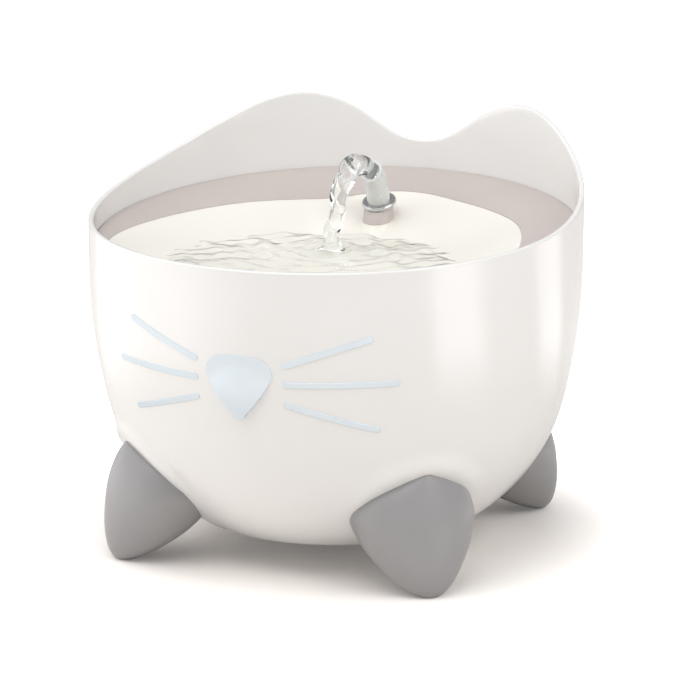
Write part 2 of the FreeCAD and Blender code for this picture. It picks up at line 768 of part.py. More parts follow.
pedestal = cone("pedestal", "pedestal_base_radius", "pedestal_top_radius",
                "pedestal_depth - collar_below")
pedestal.Placement = SPOUT_PLACE * Placement(Vector(0, 0, -sizes.pedestal_depth), Rotation())
socket = rod("socket", "socket_radius", ("0", "riser_offset", "socket_bottom"), "socket_top - socket_bottom")
socket_bore = rod("socket_bore", "riser_radius + 2 * seal_radius + seal_gap",
                  ("0", "riser_offset", "socket_bottom - 1"), "socket_top - socket_bottom - 2")
spigot_bore = rod("spigot_bore", "spigot_radius + spigot_gap", ("0", "0", "0"), "pedestal_depth + 2")
for letter in "xyz":
    spigot_bore.setExpression(f"Placement.Base.{letter}", None)
spigot_bore.Placement = SPOUT_PLACE * Placement(Vector(0, 0, -sizes.pedestal_depth + 1), Rotation())


def drain(number):
    """One overflow slot through the front of the basin's lip."""
    low = -sizes.drain_top_drop - sizes.drain_height
    slot = doc.addObject("Part::Box", f"drain_{number}")
    bind(slot, "Length", "drain_width")
    bind(slot, "Width", "10")
    bind(slot, "Height", "drain_height")
    turn = Placement(Vector(), Rotation(Vector(0, 0, 1), (number - 3) * sizes.drain_step))
    slot.Placement = BASIN_PLACE * turn * Placement(
        Vector(-sizes.drain_width / 2, -sizes.basin_radius - MARGIN, low), Rotation())
    return slot


basin_wall = cut("basin_wall", join("basin_blank", basin_outer, basin_flange), basin_cavity)
basin_joined = join("basin_joined", common("basin_trimmed", basin_wall, deck_envelope), pedestal, socket)
keep("tray_basin", cut("tray_basin", basin_joined, socket_bore, spigot_bore,
                       *[drain(number) for number in range(1, 6)]))


# Spout

def spout_tube(name, radius):
    """A round bar along the spout's path: a straight run and a forward bend."""
    turn = radians("spout_bend_turn")
    bend = sizes.spout_bend_radius
    low = Vector(0, 0, -sizes.collar_below + 0.2)
    middle = Vector(0, 0, sizes.spout_straight)
    arc_middle = middle + Vector(0, bend * (math.cos(turn / 2) - 1), bend * math.sin(turn / 2))
    high = middle + Vector(0, bend * (math.cos(turn) - 1), bend * math.sin(turn))
    path = Part.Wire([Part.LineSegment(low, middle).toShape(), Part.Arc(middle, arc_middle, high).toShape()])
    ring = Part.Wire([Part.Circle(low, Vector(0, 0, 1), radius).toShape()])
    bar = doc.addObject("Part::Feature", name)
    bar.Shape = path.makePipeShell([ring], True, False)
    bar.Placement = SPOUT_PLACE
    return bar


spout_outside = spout_tube("spout_outside", sizes.spout_radius)
spout_inside = spout_tube("spout_inside", sizes.spout_bore)
spigot = turned_body("spigot", [
    (0.0, -sizes.spigot_depth),
    (sizes.spigot_radius, -sizes.spigot_depth),
    (sizes.spigot_radius, -sizes.collar_below + 0.4),
    (0.0, -sizes.collar_below + 0.4),
], SPOUT_PLACE)
spigot_way = turned_body("spigot_way", [
    (0.0, -sizes.spigot_depth - MARGIN),
    (sizes.spout_bore - 0.6, -sizes.spigot_depth - MARGIN),
    (sizes.spout_bore - 0.6, 0.0),
    (0.0, 0.0),
], SPOUT_PLACE)
keep("spout_tube", cut("spout_tube", join("spout_blank", spout_outside, spigot), spout_inside, spigot_way))
COLLAR_HOLE = sizes.spout_radius + sizes.collar_gap
keep("spout_collar", turned_body("spout_collar", [
    (COLLAR_HOLE, -sizes.collar_below),
    (sizes.collar_radius - 0.4, -sizes.collar_below),
    (sizes.collar_radius, -sizes.collar_below + 0.4),
    (sizes.collar_radius, sizes.collar_above - 0.4),
    (sizes.collar_radius - 0.4, sizes.collar_above),
    (COLLAR_HOLE, sizes.collar_above),
], SPOUT_PLACE))


# Riser pipe and its seal

RISER_PLACE = Placement(Vector(0, sizes.riser_offset, 0), Rotation())
CUFF_BORE = sizes.nozzle_radius + sizes.cuff_gap
CUFF_TOP = sizes.pump_top + sizes.cuff_length
keep("riser_pipe", turned_body("riser_pipe", [
    (CUFF_BORE, sizes.pump_top + 0.2),
    (CUFF_BORE + sizes.cuff_wall, sizes.pump_top + 0.2),
    (CUFF_BORE + sizes.cuff_wall, CUFF_TOP),
    (sizes.riser_radius, CUFF_TOP + 3.0),
    (sizes.riser_radius, sizes.riser_top),
    (sizes.riser_bore, sizes.riser_top),
    (sizes.riser_bore, CUFF_TOP + 0.5),
    (CUFF_BORE, sizes.pump_top + sizes.nozzle_height + 0.3),
], RISER_PLACE))
riser_seal = doc.addObject("Part::Torus", "riser_seal")
bind(riser_seal, "Radius1", "riser_radius + seal_radius + 0.02")
bind(riser_seal, "Radius2", "seal_radius")
bind(riser_seal, "Placement.Base.y", "riser_offset")
bind(riser_seal, "Placement.Base.z", "riser_top - seal_drop")
keep("riser_seal", riser_seal)


# Filter cartridge

FILTER_LOW = f"{FLOOR_HEIGHT} + filter_foot_gap"
frame_block = block("filter_block", ("-filter_half_width", "filter_front", FILTER_LOW),
                    ("filter_half_width", "filter_back", f"{FILTER_LOW} + filter_height"))
frame_room = block("filter_room",
                   ("filter_wall - filter_half_width", "filter_front + filter_wall",
                    f"{FILTER_LOW} + filter_wall"),
                   ("filter_half_width - filter_wall", "filter_back - filter_wall",
                    f"{FILTER_LOW} + filter_height + 1"))


def grille_slots(name, low, high):
    """A row of slots along Y that go through one plate."""
    slots = []
    for number in range(-2, 3):
        slots.append(block(
            f"{name}_{number + 3}",
            (f"{number} * filter_slot_pitch - filter_slot_width / 2",
             "(filter_front + filter_back - filter_slot_length) / 2", low),
            (f"{number} * filter_slot_pitch + filter_slot_width / 2",
             "(filter_front + filter_back + filter_slot_length) / 2", high)))
    return slots


keep("filter_frame", cut("filter_frame", frame_block, frame_room,
                         *grille_slots("floor_slot", f"{FILTER_LOW} - 1", f"{FILTER_LOW} + filter_wall + 1")))
FOAM_GAP = "filter_wall + filter_foam_gap"
keep("filter_foam", block(
    "filter_foam",
    (f"{FOAM_GAP} - filter_half_width", f"filter_front + {FOAM_GAP}", f"{FILTER_LOW} + {FOAM_GAP}"),
    (f"filter_half_width - ({FOAM_GAP})", f"filter_back - ({FOAM_GAP})",
     f"{FILTER_LOW} + filter_height - filter_foam_gap")))
LID_LOW = f"{FILTER_LOW} + filter_height"
lid_plate = block("lid_plate", ("-filter_half_width", "filter_front", LID_LOW),
                  ("filter_half_width", "filter_back", f"{LID_LOW} + filter_lid_thickness"))
lid_tab = block("lid_tab",
                ("-filter_tab_half", "filter_back - filter_wall", LID_LOW),
                ("filter_tab_half", "filter_back", f"{LID_LOW} + filter_lid_thickness + filter_tab_height"))
keep("filter_lid", cut("filter_lid", join("lid_blank", lid_plate, lid_tab),
                       *grille_slots("lid_slot", f"{LID_LOW} - 1", f"{LID_LOW} + filter_lid_thickness + 1")))


# Pump housing with its rotor well, impeller chamber and motor room

HALF = "pump_half_width"
WELL_RADIUS = "rotor_radius + rotor_gap"


def axle_rod(name, radius, start, end):
    """A cylinder on the rotor's axis between two depths along Y."""
    return rod(name, radius, ("0", start, "rotor_height"), f"({end}) - ({start})", "y")


pump_blank = block("pump_blank", (f"-{HALF}", "pump_front", "pump_bottom"), (HALF, "pump_back", "pump_top"))
pump_rounded = doc.addObject("Part::Fillet", "pump_rounded")
pump_rounded.Base = pump_blank
doc.recompute()
upright_edges = [number for number, edge in enumerate(pump_blank.Shape.Edges, start=1)
                 if abs(edge.tangentAt(edge.FirstParameter).y) > 0.9]
pump_rounded.Edges = [(number, 3.0, 3.0) for number in upright_edges]
nozzle = rod("nozzle", "nozzle_radius", ("0", "riser_offset", "pump_top"), "nozzle_height")
motor_room = block("motor_room", (f"pump_wall - {HALF}", "pump_front - 1", "pump_bottom + pump_wall"),
                   (f"{HALF} - pump_wall", "motor_back", "pump_top - pump_wall"))
well_tube = axle_rod("well_tube", f"{WELL_RADIUS} + well_wall", "well_end - well_wall", "motor_back + 1")
motor_hollow = cut("motor_hollow", motor_room, well_tube)
well_hole = axle_rod("well_hole", WELL_RADIUS, "well_end", "pump_back")
chamber = axle_rod("chamber", "chamber_radius", "chamber_front", "pump_back + 1")
outlet = rod("outlet", "nozzle_bore", ("0", "riser_offset", "rotor_height"), "pump_top")
SCREW_X = f"{HALF} - cover_screw_inset"
SCREW_Z = ("pump_bottom + cover_screw_inset", "pump_top - cover_screw_inset")
SCREW_PLACES = [(f"{side} * ({SCREW_X})", height) for side in (-1, 1) for height in SCREW_Z]


def corner_rods(name, radius, start, end):
    """One rod at each corner of the cover."""
    return [rod(f"{name}_{number}", radius, (place, start, height), f"({end}) - ({start})", "y")
            for number, (place, height) in enumerate(SCREW_PLACES, start=1)]


screw_holes = corner_rods("thread_hole", "cover_screw_radius + cover_screw_gap / 2",
                          "pump_back - cover_screw_length", "pump_back + 1")
dial_hole = rod("dial_hole", "dial_pin_radius + dial_pin_gap",
                (f"{HALF} - dial_pin_length - 0.5", "dial_place", "dial_height"), "dial_pin_length + 2", "x")
CUP_PLACES = [(side * 1, place) for place in ("cup_front", "cup_back") for side in (-1, 1)]
stem_holes = [rod(f"stem_hole_{number}", "cup_stem_radius + 0.1",
                  (f"{side} * cup_offset", place, "pump_bottom - 1"), "cup_stem_length + 1.1")
              for number, (side, place) in enumerate(CUP_PLACES, start=1)]
keep("pump_housing", cut("pump_housing", join("pump_solid", pump_rounded, nozzle), motor_hollow, well_hole,
                         chamber, outlet, dial_hole, *screw_holes, *stem_holes))

keep("motor_cap", block(
    "motor_cap",
    (f"pump_wall + 0.1 - {HALF}", "pump_front", "pump_bottom + pump_wall + 0.1"),
    (f"{HALF} - pump_wall - 0.1", "pump_front + motor_cap_thickness", "pump_top - pump_wall - 0.1")))

core_block = block("core_block", ("-core_half_width", "core_front", "core_bottom"),
                   ("core_half_width", "core_back", "core_top"))
core_window = block("core_window", ("core_limb - core_half_width", "core_front - 1", "core_bottom + core_limb"),
                    ("core_half_width - core_limb", "core_back + 1", "core_top + 1"))
keep("stator_core", cut("stator_core", core_block, core_window))
coil_block = block("coil_block",
                   ("-coil_half_width", "core_front - coil_wall - coil_gap",
                    "core_bottom - coil_wall - coil_gap"),
                   ("coil_half_width", "core_back + coil_wall + coil_gap",
                    "core_bottom + core_limb + coil_wall + coil_gap"))
coil_window = block("coil_window",
                    ("-coil_half_width - 1", "core_front - coil_gap", "core_bottom - coil_gap"),
                    ("coil_half_width + 1", "core_back + coil_gap", "core_bottom + core_limb + coil_gap"))
keep("motor_coil", cut("motor_coil", coil_block, coil_window))

SHAFT_HOLE = "shaft_radius + shaft_gap"
keep("rotor_shaft", axle_rod("rotor_shaft", "shaft_radius", "well_end + 0.1", "pump_back + 1.2"))
keep("front_bush", cut("front_bush", axle_rod("front_bush_rod", "bush_radius", "well_end", "well_end + bush_length"),
                       axle_rod("front_bush_hole", "shaft_radius", "well_end - 1", "well_end + bush_length + 1")))
keep("back_bush", cut("back_bush",
                      axle_rod("back_bush_rod", "bush_radius", "pump_back + 0.1 - 1.2",
                               "pump_back + 0.1 + cover_thickness - 1"),
                      axle_rod("back_bush_hole", "shaft_radius", "pump_back - 2", "pump_back + 1.3")))
keep("rotor_magnet", cut("rotor_magnet",
                         axle_rod("magnet_rod", "rotor_radius", "rotor_front", "chamber_front - 1"),
                         axle_rod("magnet_hole", SHAFT_HOLE, "rotor_front - 1", "chamber_front")))
impeller_disc = axle_rod("impeller_disc", "rotor_radius", "chamber_front - 1", "chamber_front + 0.8")
impeller_hub = axle_rod("impeller_hub", "hub_radius", "chamber_front - 1", "blade_back")
blades = []
for number in range(int(sizes.blade_count)):
    blade = doc.addObject("Part::Box", f"blade_{number + 1}")
    bind(blade, "Length", "blade_reach - 1.5")
    bind(blade, "Width", "blade_back - chamber_front - 0.3")
    bind(blade, "Height", "blade_thickness")
    spin = Rotation(Vector(0, 1, 0), 360.0 * number / sizes.blade_count)
    centre = Placement(Vector(0, sizes.chamber_front + 0.3, sizes.rotor_height), spin)
    blade.Placement = centre * Placement(Vector(1.5, 0, -sizes.blade_thickness / 2), Rotation())
    blades.append(blade)
keep("impeller", cut("impeller", join("impeller_blank", impeller_disc, impeller_hub, *blades),
                     axle_rod("impeller_hole", SHAFT_HOLE, "chamber_front - 2", "blade_back + 1")))

COVER_FRONT = "pump_back + 0.1"
COVER_BACK = "pump_back + 0.1 + cover_thickness"
cover_plate = block("cover_plate", (f"-{HALF}", COVER_FRONT, "pump_bottom"), (HALF, COVER_BACK, "pump_top"))
cover_ways = corner_rods("cover_way", "cover_screw_radius + cover_screw_gap", COVER_FRONT, COVER_BACK)
cover_seats = corner_rods("cover_seat", "cover_head_radius + cover_screw_gap",
                          f"{COVER_BACK} - cover_head_height", f"{COVER_BACK} + 1")
intake_holes = [rod(f"intake_{number + 1}", "intake_radius",
                    (f"intake_circle * cos(360 / intake_count * {number})", "pump_back",
                     f"rotor_height + intake_circle * sin(360 / intake_count * {number})"),
                    "cover_thickness + 1", "y")
                for number in range(int(sizes.intake_count))]
bush_seat = axle_rod("bush_seat", "bush_radius", "pump_back", f"{COVER_BACK} - 1")
keep("pump_cover", cut("pump_cover", cover_plate, bush_seat, *cover_ways, *cover_seats, *intake_holes))
cover_screw_solids = [
    join(f"cover_screw_{number}", head, shank)
    for number, (head, shank) in enumerate(zip(
        corner_rods("cover_head", "cover_head_radius", f"{COVER_BACK} - cover_head_height", COVER_BACK),
        corner_rods("cover_shank", "cover_screw_radius", "pump_back - cover_screw_length + 0.5",
                    f"{COVER_BACK} - 1")), start=1)]
cover_screws = doc.addObject("Part::Compound", "cover_screws")
cover_screws.Links = cover_screw_solids
keep("cover_screws", cover_screws)
keep("intake_sponge", block("intake_sponge",
                            ("-sponge_half_width", f"{COVER_BACK} + 0.1", "sponge_bottom"),
                            ("sponge_half_width", f"{COVER_BACK} + 0.1 + sponge_thickness", "sponge_top")))

for number, (side, place) in enumerate(CUP_PLACES, start=1):
    skirt = cone(f"cup_skirt_{number}", "cup_radius", "cup_neck_radius", f"pump_bottom - {FLOOR_HEIGHT} - 0.1")
    bind(skirt, "Placement.Base.x", f"{side} * cup_offset")
    bind(skirt, "Placement.Base.y", place)
    bind(skirt, "Placement.Base.z", f"{FLOOR_HEIGHT} + 0.05")
    stem = rod(f"cup_stem_{number}", "cup_stem_radius", (f"{side} * cup_offset", place, "pump_bottom - 1"),
               "cup_stem_length + 1")
    dish = doc.addObject("Part::Sphere", f"cup_dish_{number}")
    bind(dish, "Radius", "2.4 * cup_radius")
    bind(dish, "Placement.Base.x", f"{side} * cup_offset")
    bind(dish, "Placement.Base.y", place)
    bind(dish, "Placement.Base.z", f"{FLOOR_HEIGHT} + 1.5 - 2.4 * cup_radius")
    keep(f"suction_cup_{number}", cut(f"suction_cup_{number}", join(f"cup_blank_{number}", skirt, stem), dish))

dial_disc = rod("dial_disc", "dial_radius", (f"{HALF} + dial_gap", "dial_place", "dial_height"),
                "dial_thickness", "x")
dial_pin = rod("dial_pin", "dial_pin_radius", (f"{HALF} - dial_pin_length", "dial_place", "dial_height"),
               "dial_pin_length + dial_gap + 1", "x")
dial_grip = block("dial_grip",
                  (f"{HALF} + dial_gap + 1", "dial_place - dial_radius + 1", "dial_height - dial_grip_width / 2"),
                  (f"{HALF} + dial_gap + dial_thickness + dial_grip_height", "dial_place + dial_radius - 1",
                   "dial_height + dial_grip_width / 2"))
keep("flow_dial", join("flow_dial", dial_disc, dial_pin, dial_grip))

doc.recompute()

# Nothing is written unless every object and every sub-part is sound
for item in doc.Objects:
    if "Invalid" in item.State or "Error" in item.State:
        raise RuntimeError(f"{item.Name} is not sound: {item.State}")
for name, piece in pieces.items():
    if piece.Shape.isNull() or not piece.Shape.isValid():
        raise RuntimeError(f"{name} has no valid shape")
for name, piece in pieces.items():
    piece.Shape.exportStep(f"parts/{name}.step")
    box = piece.Shape.BoundBox
    print(f"{name}: {len(piece.Shape.Solids)} solid(s), {piece.Shape.Volume:.0f} mm3, "
          f"x {box.XMin:.1f} {box.XMax:.1f}, y {box.YMin:.1f} {box.YMax:.1f}, z {box.ZMin:.1f} {box.ZMax:.1f}")
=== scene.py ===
import math

import bpy
import numpy as np
from mathutils import Matrix, Vector


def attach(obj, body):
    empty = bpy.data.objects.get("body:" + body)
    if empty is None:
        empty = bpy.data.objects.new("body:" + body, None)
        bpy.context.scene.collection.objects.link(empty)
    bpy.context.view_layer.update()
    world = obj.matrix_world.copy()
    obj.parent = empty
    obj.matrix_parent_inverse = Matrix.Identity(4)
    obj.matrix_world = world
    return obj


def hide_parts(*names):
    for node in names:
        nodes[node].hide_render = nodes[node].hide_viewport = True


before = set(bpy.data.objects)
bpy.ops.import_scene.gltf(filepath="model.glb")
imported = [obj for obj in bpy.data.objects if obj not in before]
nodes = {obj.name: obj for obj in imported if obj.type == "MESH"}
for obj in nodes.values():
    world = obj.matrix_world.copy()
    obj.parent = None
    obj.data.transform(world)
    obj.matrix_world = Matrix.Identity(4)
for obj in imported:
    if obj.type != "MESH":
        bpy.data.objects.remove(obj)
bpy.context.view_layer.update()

MM = 0.001

# Sizes that the fitted pieces share with the CAD, in millimetres
RIM_RADIUS = 115.0
WALL = 2.5
STRAIGHT = 133.0
SIDE_CENTRE = Vector((RIM_RADIUS - 268.8, STRAIGHT))
SIDE_RADIUS = 268.8
SIDE_TURN = 14.0
BELLY_RADIUS = 87.9
BELLY_TURN = 59.0
CORNER_RADIUS = 6.0
INSERT_DEPTH = 1.5
INSERT_PROUD = 0.4
INSERT_EDGE = 0.28
TRAY_HEIGHT = 146.6
TRAY_TILT = 5.28
TRAY_PLACE = Matrix.Translation((0, 0, TRAY_HEIGHT * MM)) @ Matrix.Rotation(math.radians(TRAY_TILT), 4, "X")
SPOUT_LEAN = 22.0
FOOT_TURNS = {"front_right": -45.0, "front_left": -135.0, "rear_right": 45.0, "rear_left": 135.0}

# The pool, in millimetres: its level, its round edge, and where its painted dark reflections begin to grow
# towards the edge and where they are full
WATER_LEVEL = 135.5
POOL_CENTRE = Vector((-3.0, -23.5))
POOL_RADIUS = 67.0
PAINTED_REFLECTION_START = 35.0
PAINTED_REFLECTION_FULL = 66.0


def along(centre, radius, turn):
    """The point of a profile arc at a turn below the level, in degrees."""
    angle = math.radians(turn)
    return Vector((centre.x + radius * math.cos(angle), centre.y - radius * math.sin(angle)))


BELLY_CENTRE = along(SIDE_CENTRE, SIDE_RADIUS - BELLY_RADIUS, SIDE_TURN)
CORNER_CENTRE = along(BELLY_CENTRE, BELLY_RADIUS - CORNER_RADIUS, BELLY_TURN)
BASE = CORNER_CENTRE.y - CORNER_RADIUS


# Working by hand: one piece at a time

def only(piece):
    """Selects one piece and makes it the active one."""
    if bpy.context.mode != "OBJECT":
        bpy.ops.object.mode_set(mode="OBJECT")
    bpy.ops.object.select_all(action="DESELECT")
    piece.select_set(True)
    bpy.context.view_layer.objects.active = piece


def begin():
    """Leaves nothing selected, so that the next primitive stands alone."""
    if bpy.context.mode != "OBJECT":
        bpy.ops.object.mode_set(mode="OBJECT")
    bpy.ops.object.select_all(action="DESELECT")


def named(name):
    """Names the piece that was just added and gives it back."""
    piece = bpy.context.object
    piece.name = name
    piece.data.name = name
    return piece


def edit(piece):
    """Opens one piece for editing with all of it selected."""
    only(piece)
    bpy.ops.object.mode_set(mode="EDIT")
    bpy.ops.mesh.select_mode(type="VERT")
    bpy.ops.mesh.select_all(action="SELECT")


def pick_faces(piece, test):
    """Opens a piece for editing with the faces that pass the test selected."""
    only(piece)
    for vertex in piece.data.vertices:
        vertex.select = False
    for edge in piece.data.edges:
        edge.select = False
    for face in piece.data.polygons:
        face.select = test(face.center, face.normal)
    bpy.ops.object.mode_set(mode="EDIT")
    bpy.ops.mesh.select_mode(type="FACE")


def settle(piece, smooth=40.0):
    """Puts the piece's place in its mesh, closes its seams and shades it."""
    edit(piece)
    bpy.ops.mesh.remove_doubles(threshold=0.004 * MM)
    bpy.ops.mesh.normals_make_consistent(inside=False)
    only(piece)
    bpy.ops.object.transform_apply(location=True, rotation=True, scale=True)
    bpy.ops.object.shade_smooth_by_angle(angle=math.radians(smooth))
    return piece


def modify(piece, kind, **settings):
    """Adds a modifier and applies it."""
    only(piece)
    modifier = piece.modifiers.new(kind.title(), kind)
    for name, value in settings.items():
        setattr(modifier, name, value)
    bpy.ops.object.modifier_apply(modifier=modifier.name)


def round_edges(piece, width, segments, angle=50.0):
    """Rounds the edges that turn by more than an angle in degrees."""
    modify(piece, "BEVEL", width=width * MM, segments=segments,
           limit_method="ANGLE", angle_limit=math.radians(angle))


def thickened(piece, thickness, edge, segments=3):
    """Gives a sheet its thickness behind its face, and rounds its edges."""
    modify(piece, "SOLIDIFY", thickness=thickness * MM, offset=-1.0, use_even_offset=True)
    round_edges(piece, edge, segments)
    return settle(piece, 50.0)


def drawn_line(name, outline):
    """A line of (radius, height) points in millimetres, drawn out of one point."""
    begin()
    bpy.ops.mesh.primitive_plane_add(size=MM)
    line = named(name)
    edit(line)
    bpy.ops.mesh.merge(type="CENTER")
    bpy.ops.transform.translate(value=(outline[0][0] * MM, 0, outline[0][1] * MM))
    for start, end in zip(outline, outline[1:]):
        step = ((end[0] - start[0]) * MM, 0, (end[1] - start[1]) * MM)
        bpy.ops.mesh.extrude_region_move(TRANSFORM_OT_translate={"value": step})
    return line


def turned(name, outline, steps, place=Matrix.Identity(4)):
    """A closed shape spun from its outline, then set in its place."""
    piece = drawn_line(name, outline)
    bpy.ops.mesh.select_all(action="SELECT")
    bpy.ops.mesh.spin(steps=steps, angle=math.tau, center=(0, 0, 0), axis=(0, 0, 1))
    only(piece)
    piece.data.transform(place)
    return settle(piece)


def arc(centre, radius, first, last, count):
    """Points of a profile arc between two turns below the level, the first one left out."""
    return [along(centre, radius, first + (last - first) * step / count) for step in range(1, count + 1)]


def smooth_rows(rows, count):
    """Rows of numbers drawn as one smooth run through the given rows."""
    table = np.array(rows, float)
    ends = np.vstack([2 * table[0] - table[1], table, 2 * table[-1] - table[-2]])
    made = []
    for place in np.linspace(0, len(rows) - 1, count):
        index = min(int(place), len(rows) - 2)
        t = place - index
        a, b, c, d = ends[index:index + 4]
        made.append(0.5 * (2 * b + (c - a) * t + (2 * a - 5 * b + 4 * c - d) * t ** 2
                           + (3 * b - a - 3 * c + d) * t ** 3))
    return made


# Finishes

def tone(shade):
    """The linear colour of an sRGB hex value."""
    parts = [int(shade[i:i + 2], 16) / 255 for i in (0, 2, 4)]
    return [p / 12.92 if p <= 0.04045 else ((p + 0.055) / 1.055) ** 2.4 for p in parts] + [1.0]


def per_mm(size):
    """The scale of a pattern whose features are this many millimetres apart."""
    return 1 / (size * MM)


def add_node(material, kind, values=None, links=None, **settings):
    """Adds a node with its settings, its sockets' values and its links."""
    node = material.node_tree.nodes.new(kind)
    for name, value in settings.items():
        setattr(node, name, value)
    for socket, value in (values or {}).items():
        node.inputs[socket].default_value = value
    for socket, source in (links or {}).items():
        material.node_tree.links.new(source, node.inputs[socket])
    return node


def new_finish(name, roughness, ior=1.5, **sockets):
    """A material with its shader, and the piece's own coordinates."""
    material = bpy.data.materials.new(name)
    material.use_nodes = True
    shader = material.node_tree.nodes["Principled BSDF"]
    shader.inputs["Roughness"].default_value = roughness
    shader.inputs["IOR"].default_value = ior
    for socket, value in sockets.items():
        shader.inputs[socket.replace("_", " ").title().replace("Ior", "IOR")].default_value = value
    place = add_node(material, "ShaderNodeTexCoord").outputs["Object"]
    return material, shader, place


def moulded(name, shade, second, roughness, grain, depth, ior=1.5, cloud=40.0, **sockets):
    """A moulded surface: a grain of one size in millimetres, and slow clouds of colour and gloss."""
    material, shader, place = new_finish(name, roughness, ior, **sockets)
    clouds = add_node(material, "ShaderNodeTexNoise", {"Scale": per_mm(cloud), "Detail": 3.0},
                      {"Vector": place})
    colour = add_node(material, "ShaderNodeMix", {6: tone(shade), 7: tone(second)},
                      {0: clouds.outputs["Fac"]}, data_type="RGBA")
    gloss = add_node(material, "ShaderNodeMapRange", {"To Min": roughness * 0.85, "To Max": roughness * 1.15},
                     {"Value": clouds.outputs["Fac"]})
    texture = add_node(material, "ShaderNodeTexNoise", {"Scale": per_mm(grain), "Detail": 2.0},
                       {"Vector": place})
    relief = add_node(material, "ShaderNodeBump", {"Strength": 0.5, "Distance": depth * MM},
                      {"Height": texture.outputs["Fac"]})
    links = material.node_tree.links
    links.new(colour.outputs[2], shader.inputs["Base Color"])
    links.new(gloss.outputs["Result"], shader.inputs["Roughness"])
    links.new(relief.outputs["Normal"], shader.inputs["Normal"])
    return material


# Polished white ABS: a clear gloss over white, with the faint waviness of a large moulding
white_abs = moulded("polished_white_abs", "F4F3F2", "EFEEEC", 0.16, 9.0, 0.012, 1.53,
                    coat_weight=0.35, coat_roughness=0.06)
# Moulded polypropylene: a soft waxy white, a little warm
white_polypropylene = moulded("white_polypropylene", "EFEEEA", "E6E4DF", 0.38, 0.9, 0.01)
# Spark-eroded ABS: an even satin grey, its grain drawn coarse enough to show
grey_abs = moulded("spark_eroded_grey_abs", "A1A0A1", "999899", 0.34, 0.8, 0.018)
# Moulded silicone: a dull dark grey that catches a little dust
silicone = moulded("dark_grey_silicone", "55585A", "626567", 0.6, 1.1, 0.02, 1.41)
# Satin polypropylene in taupe: a matt face with a weak sheen at low angles
taupe_polypropylene = moulded("satin_taupe_polypropylene", "C8BEB9", "C3BAB5", 0.42, 0.7, 0.012)
# Ivory polypropylene: smooth, warm and wet-looking near the water
ivory_polypropylene = moulded("smooth_ivory_polypropylene", "F5F2EB", "F3EFE7", 0.2, 1.4, 0.01)
# Dark grey ABS of the pump: a satin moulding with a fine grain
pump_abs = moulded("dark_grey_pump_abs", "4C5053", "565A5D", 0.42, 0.6, 0.015)
# Acetal: a slippery milk-white
acetal = moulded("milk_white_acetal", "EDEEEE", "E4E6E7", 0.3, 0.8, 0.006, 1.48)
# Lamp covers: soft white silicone over the diodes
lamp_silicone = moulded("soft_white_lamp_silicone", "F4F6F8", "E6EBF0", 0.35, 0.5, 0.01,
                        emission_color=tone("DCEBFA"), emission_strength=0.35)
# Open-cell sponge: nearly black, all pores
sponge = moulded("black_open_cell_sponge", "2A2B2D", "3A3C3E", 0.9, 1.5, 0.9, 1.45, 5.0)
# Filter fleece: white matted fibres
fleece = moulded("white_filter_fleece", "F1F0EC", "DEDCD5", 0.92, 0.7, 0.5, 1.5, 6.0, sheen_weight=0.3)


def pale_blue_acrylic():
    """Pale blue translucent acrylic: lit from within, and deeper in colour where it is seen edge on, which is
    painted shade along its rounded edges.
    """
    material, shader, place = new_finish("pale_blue_translucent_acrylic", 0.12, 1.49,
                                         coat_weight=0.5, coat_roughness=0.04)
    # Painted shade: the blue-grey edge colour darkens the rounded edges seen edge on, standing for the thin
    # shadow line round each insert
    edge = add_node(material, "ShaderNodeLayerWeight", {"Blend": 0.35})
    haze = add_node(material, "ShaderNodeTexNoise", {"Scale": per_mm(16.0), "Detail": 2.0}, {"Vector": place})
    inner = add_node(material, "ShaderNodeMix", {6: tone("E0EBF3"), 7: tone("EEF5FA")},
                     {0: haze.outputs["Fac"]}, data_type="RGBA")
    colour = add_node(material, "ShaderNodeMix", {7: tone("A6BCCB")},
                      {0: edge.outputs["Facing"], 6: inner.outputs[2]}, data_type="RGBA")
    ripple = add_node(material, "ShaderNodeBump", {"Strength": 0.4, "Distance": 0.05 * MM},
                      {"Height": haze.outputs["Fac"]})
    material.node_tree.links.new(colour.outputs[2], shader.inputs["Base Color"])
    material.node_tree.links.new(ripple.outputs["Normal"], shader.inputs["Normal"])
    return material


def frosted_polycarbonate():
    """Frosted clear polycarbonate: light passes and blurs, with a thin cloudy grain."""
    material, shader, place = new_finish("frosted_clear_polycarbonate", 0.22, 1.58, transmission_weight=0.25)
    grain = add_node(material, "ShaderNodeTexNoise", {"Scale": per_mm(1.6), "Detail": 3.0}, {"Vector": place})
    blur = add_node(material, "ShaderNodeMapRange", {"To Min": 0.12, "To Max": 0.34},
                    {"Value": grain.outputs["Fac"]})
    colour = add_node(material, "ShaderNodeMix", {6: tone("E9ECEB"), 7: tone("F7F8F6")},
                      {0: grain.outputs["Fac"]}, data_type="RGBA")
    material.node_tree.links.new(blur.outputs["Result"], shader.inputs["Roughness"])
    material.node_tree.links.new(colour.outputs[2], shader.inputs["Base Color"])
    return material


def brushed_steel():
    """Turned stainless steel: fine marks run round each head."""
    material, shader, place = new_finish("turned_stainless_steel", 0.28, metallic=1.0)
    stretch = add_node(material, "ShaderNodeMapping", {"Scale": (1.0, 1.0, 12.0)}, {"Vector": place})
    marks = add_node(material, "ShaderNodeTexNoise", {"Scale": per_mm(1.2), "Detail": 3.0},
                     {"Vector": stretch.outputs["Vector"]})
    colour = add_node(material, "ShaderNodeMix", {6: tone("B9BBBC"), 7: tone("D2D3D3")},
                      {0: marks.outputs["Fac"]}, data_type="RGBA")
    gloss = add_node(material, "ShaderNodeMapRange", {"To Min": 0.2, "To Max": 0.36},
                     {"Value": marks.outputs["Fac"]})
    material.node_tree.links.new(colour.outputs[2], shader.inputs["Base Color"])
    material.node_tree.links.new(gloss.outputs["Result"], shader.inputs["Roughness"])
    return material


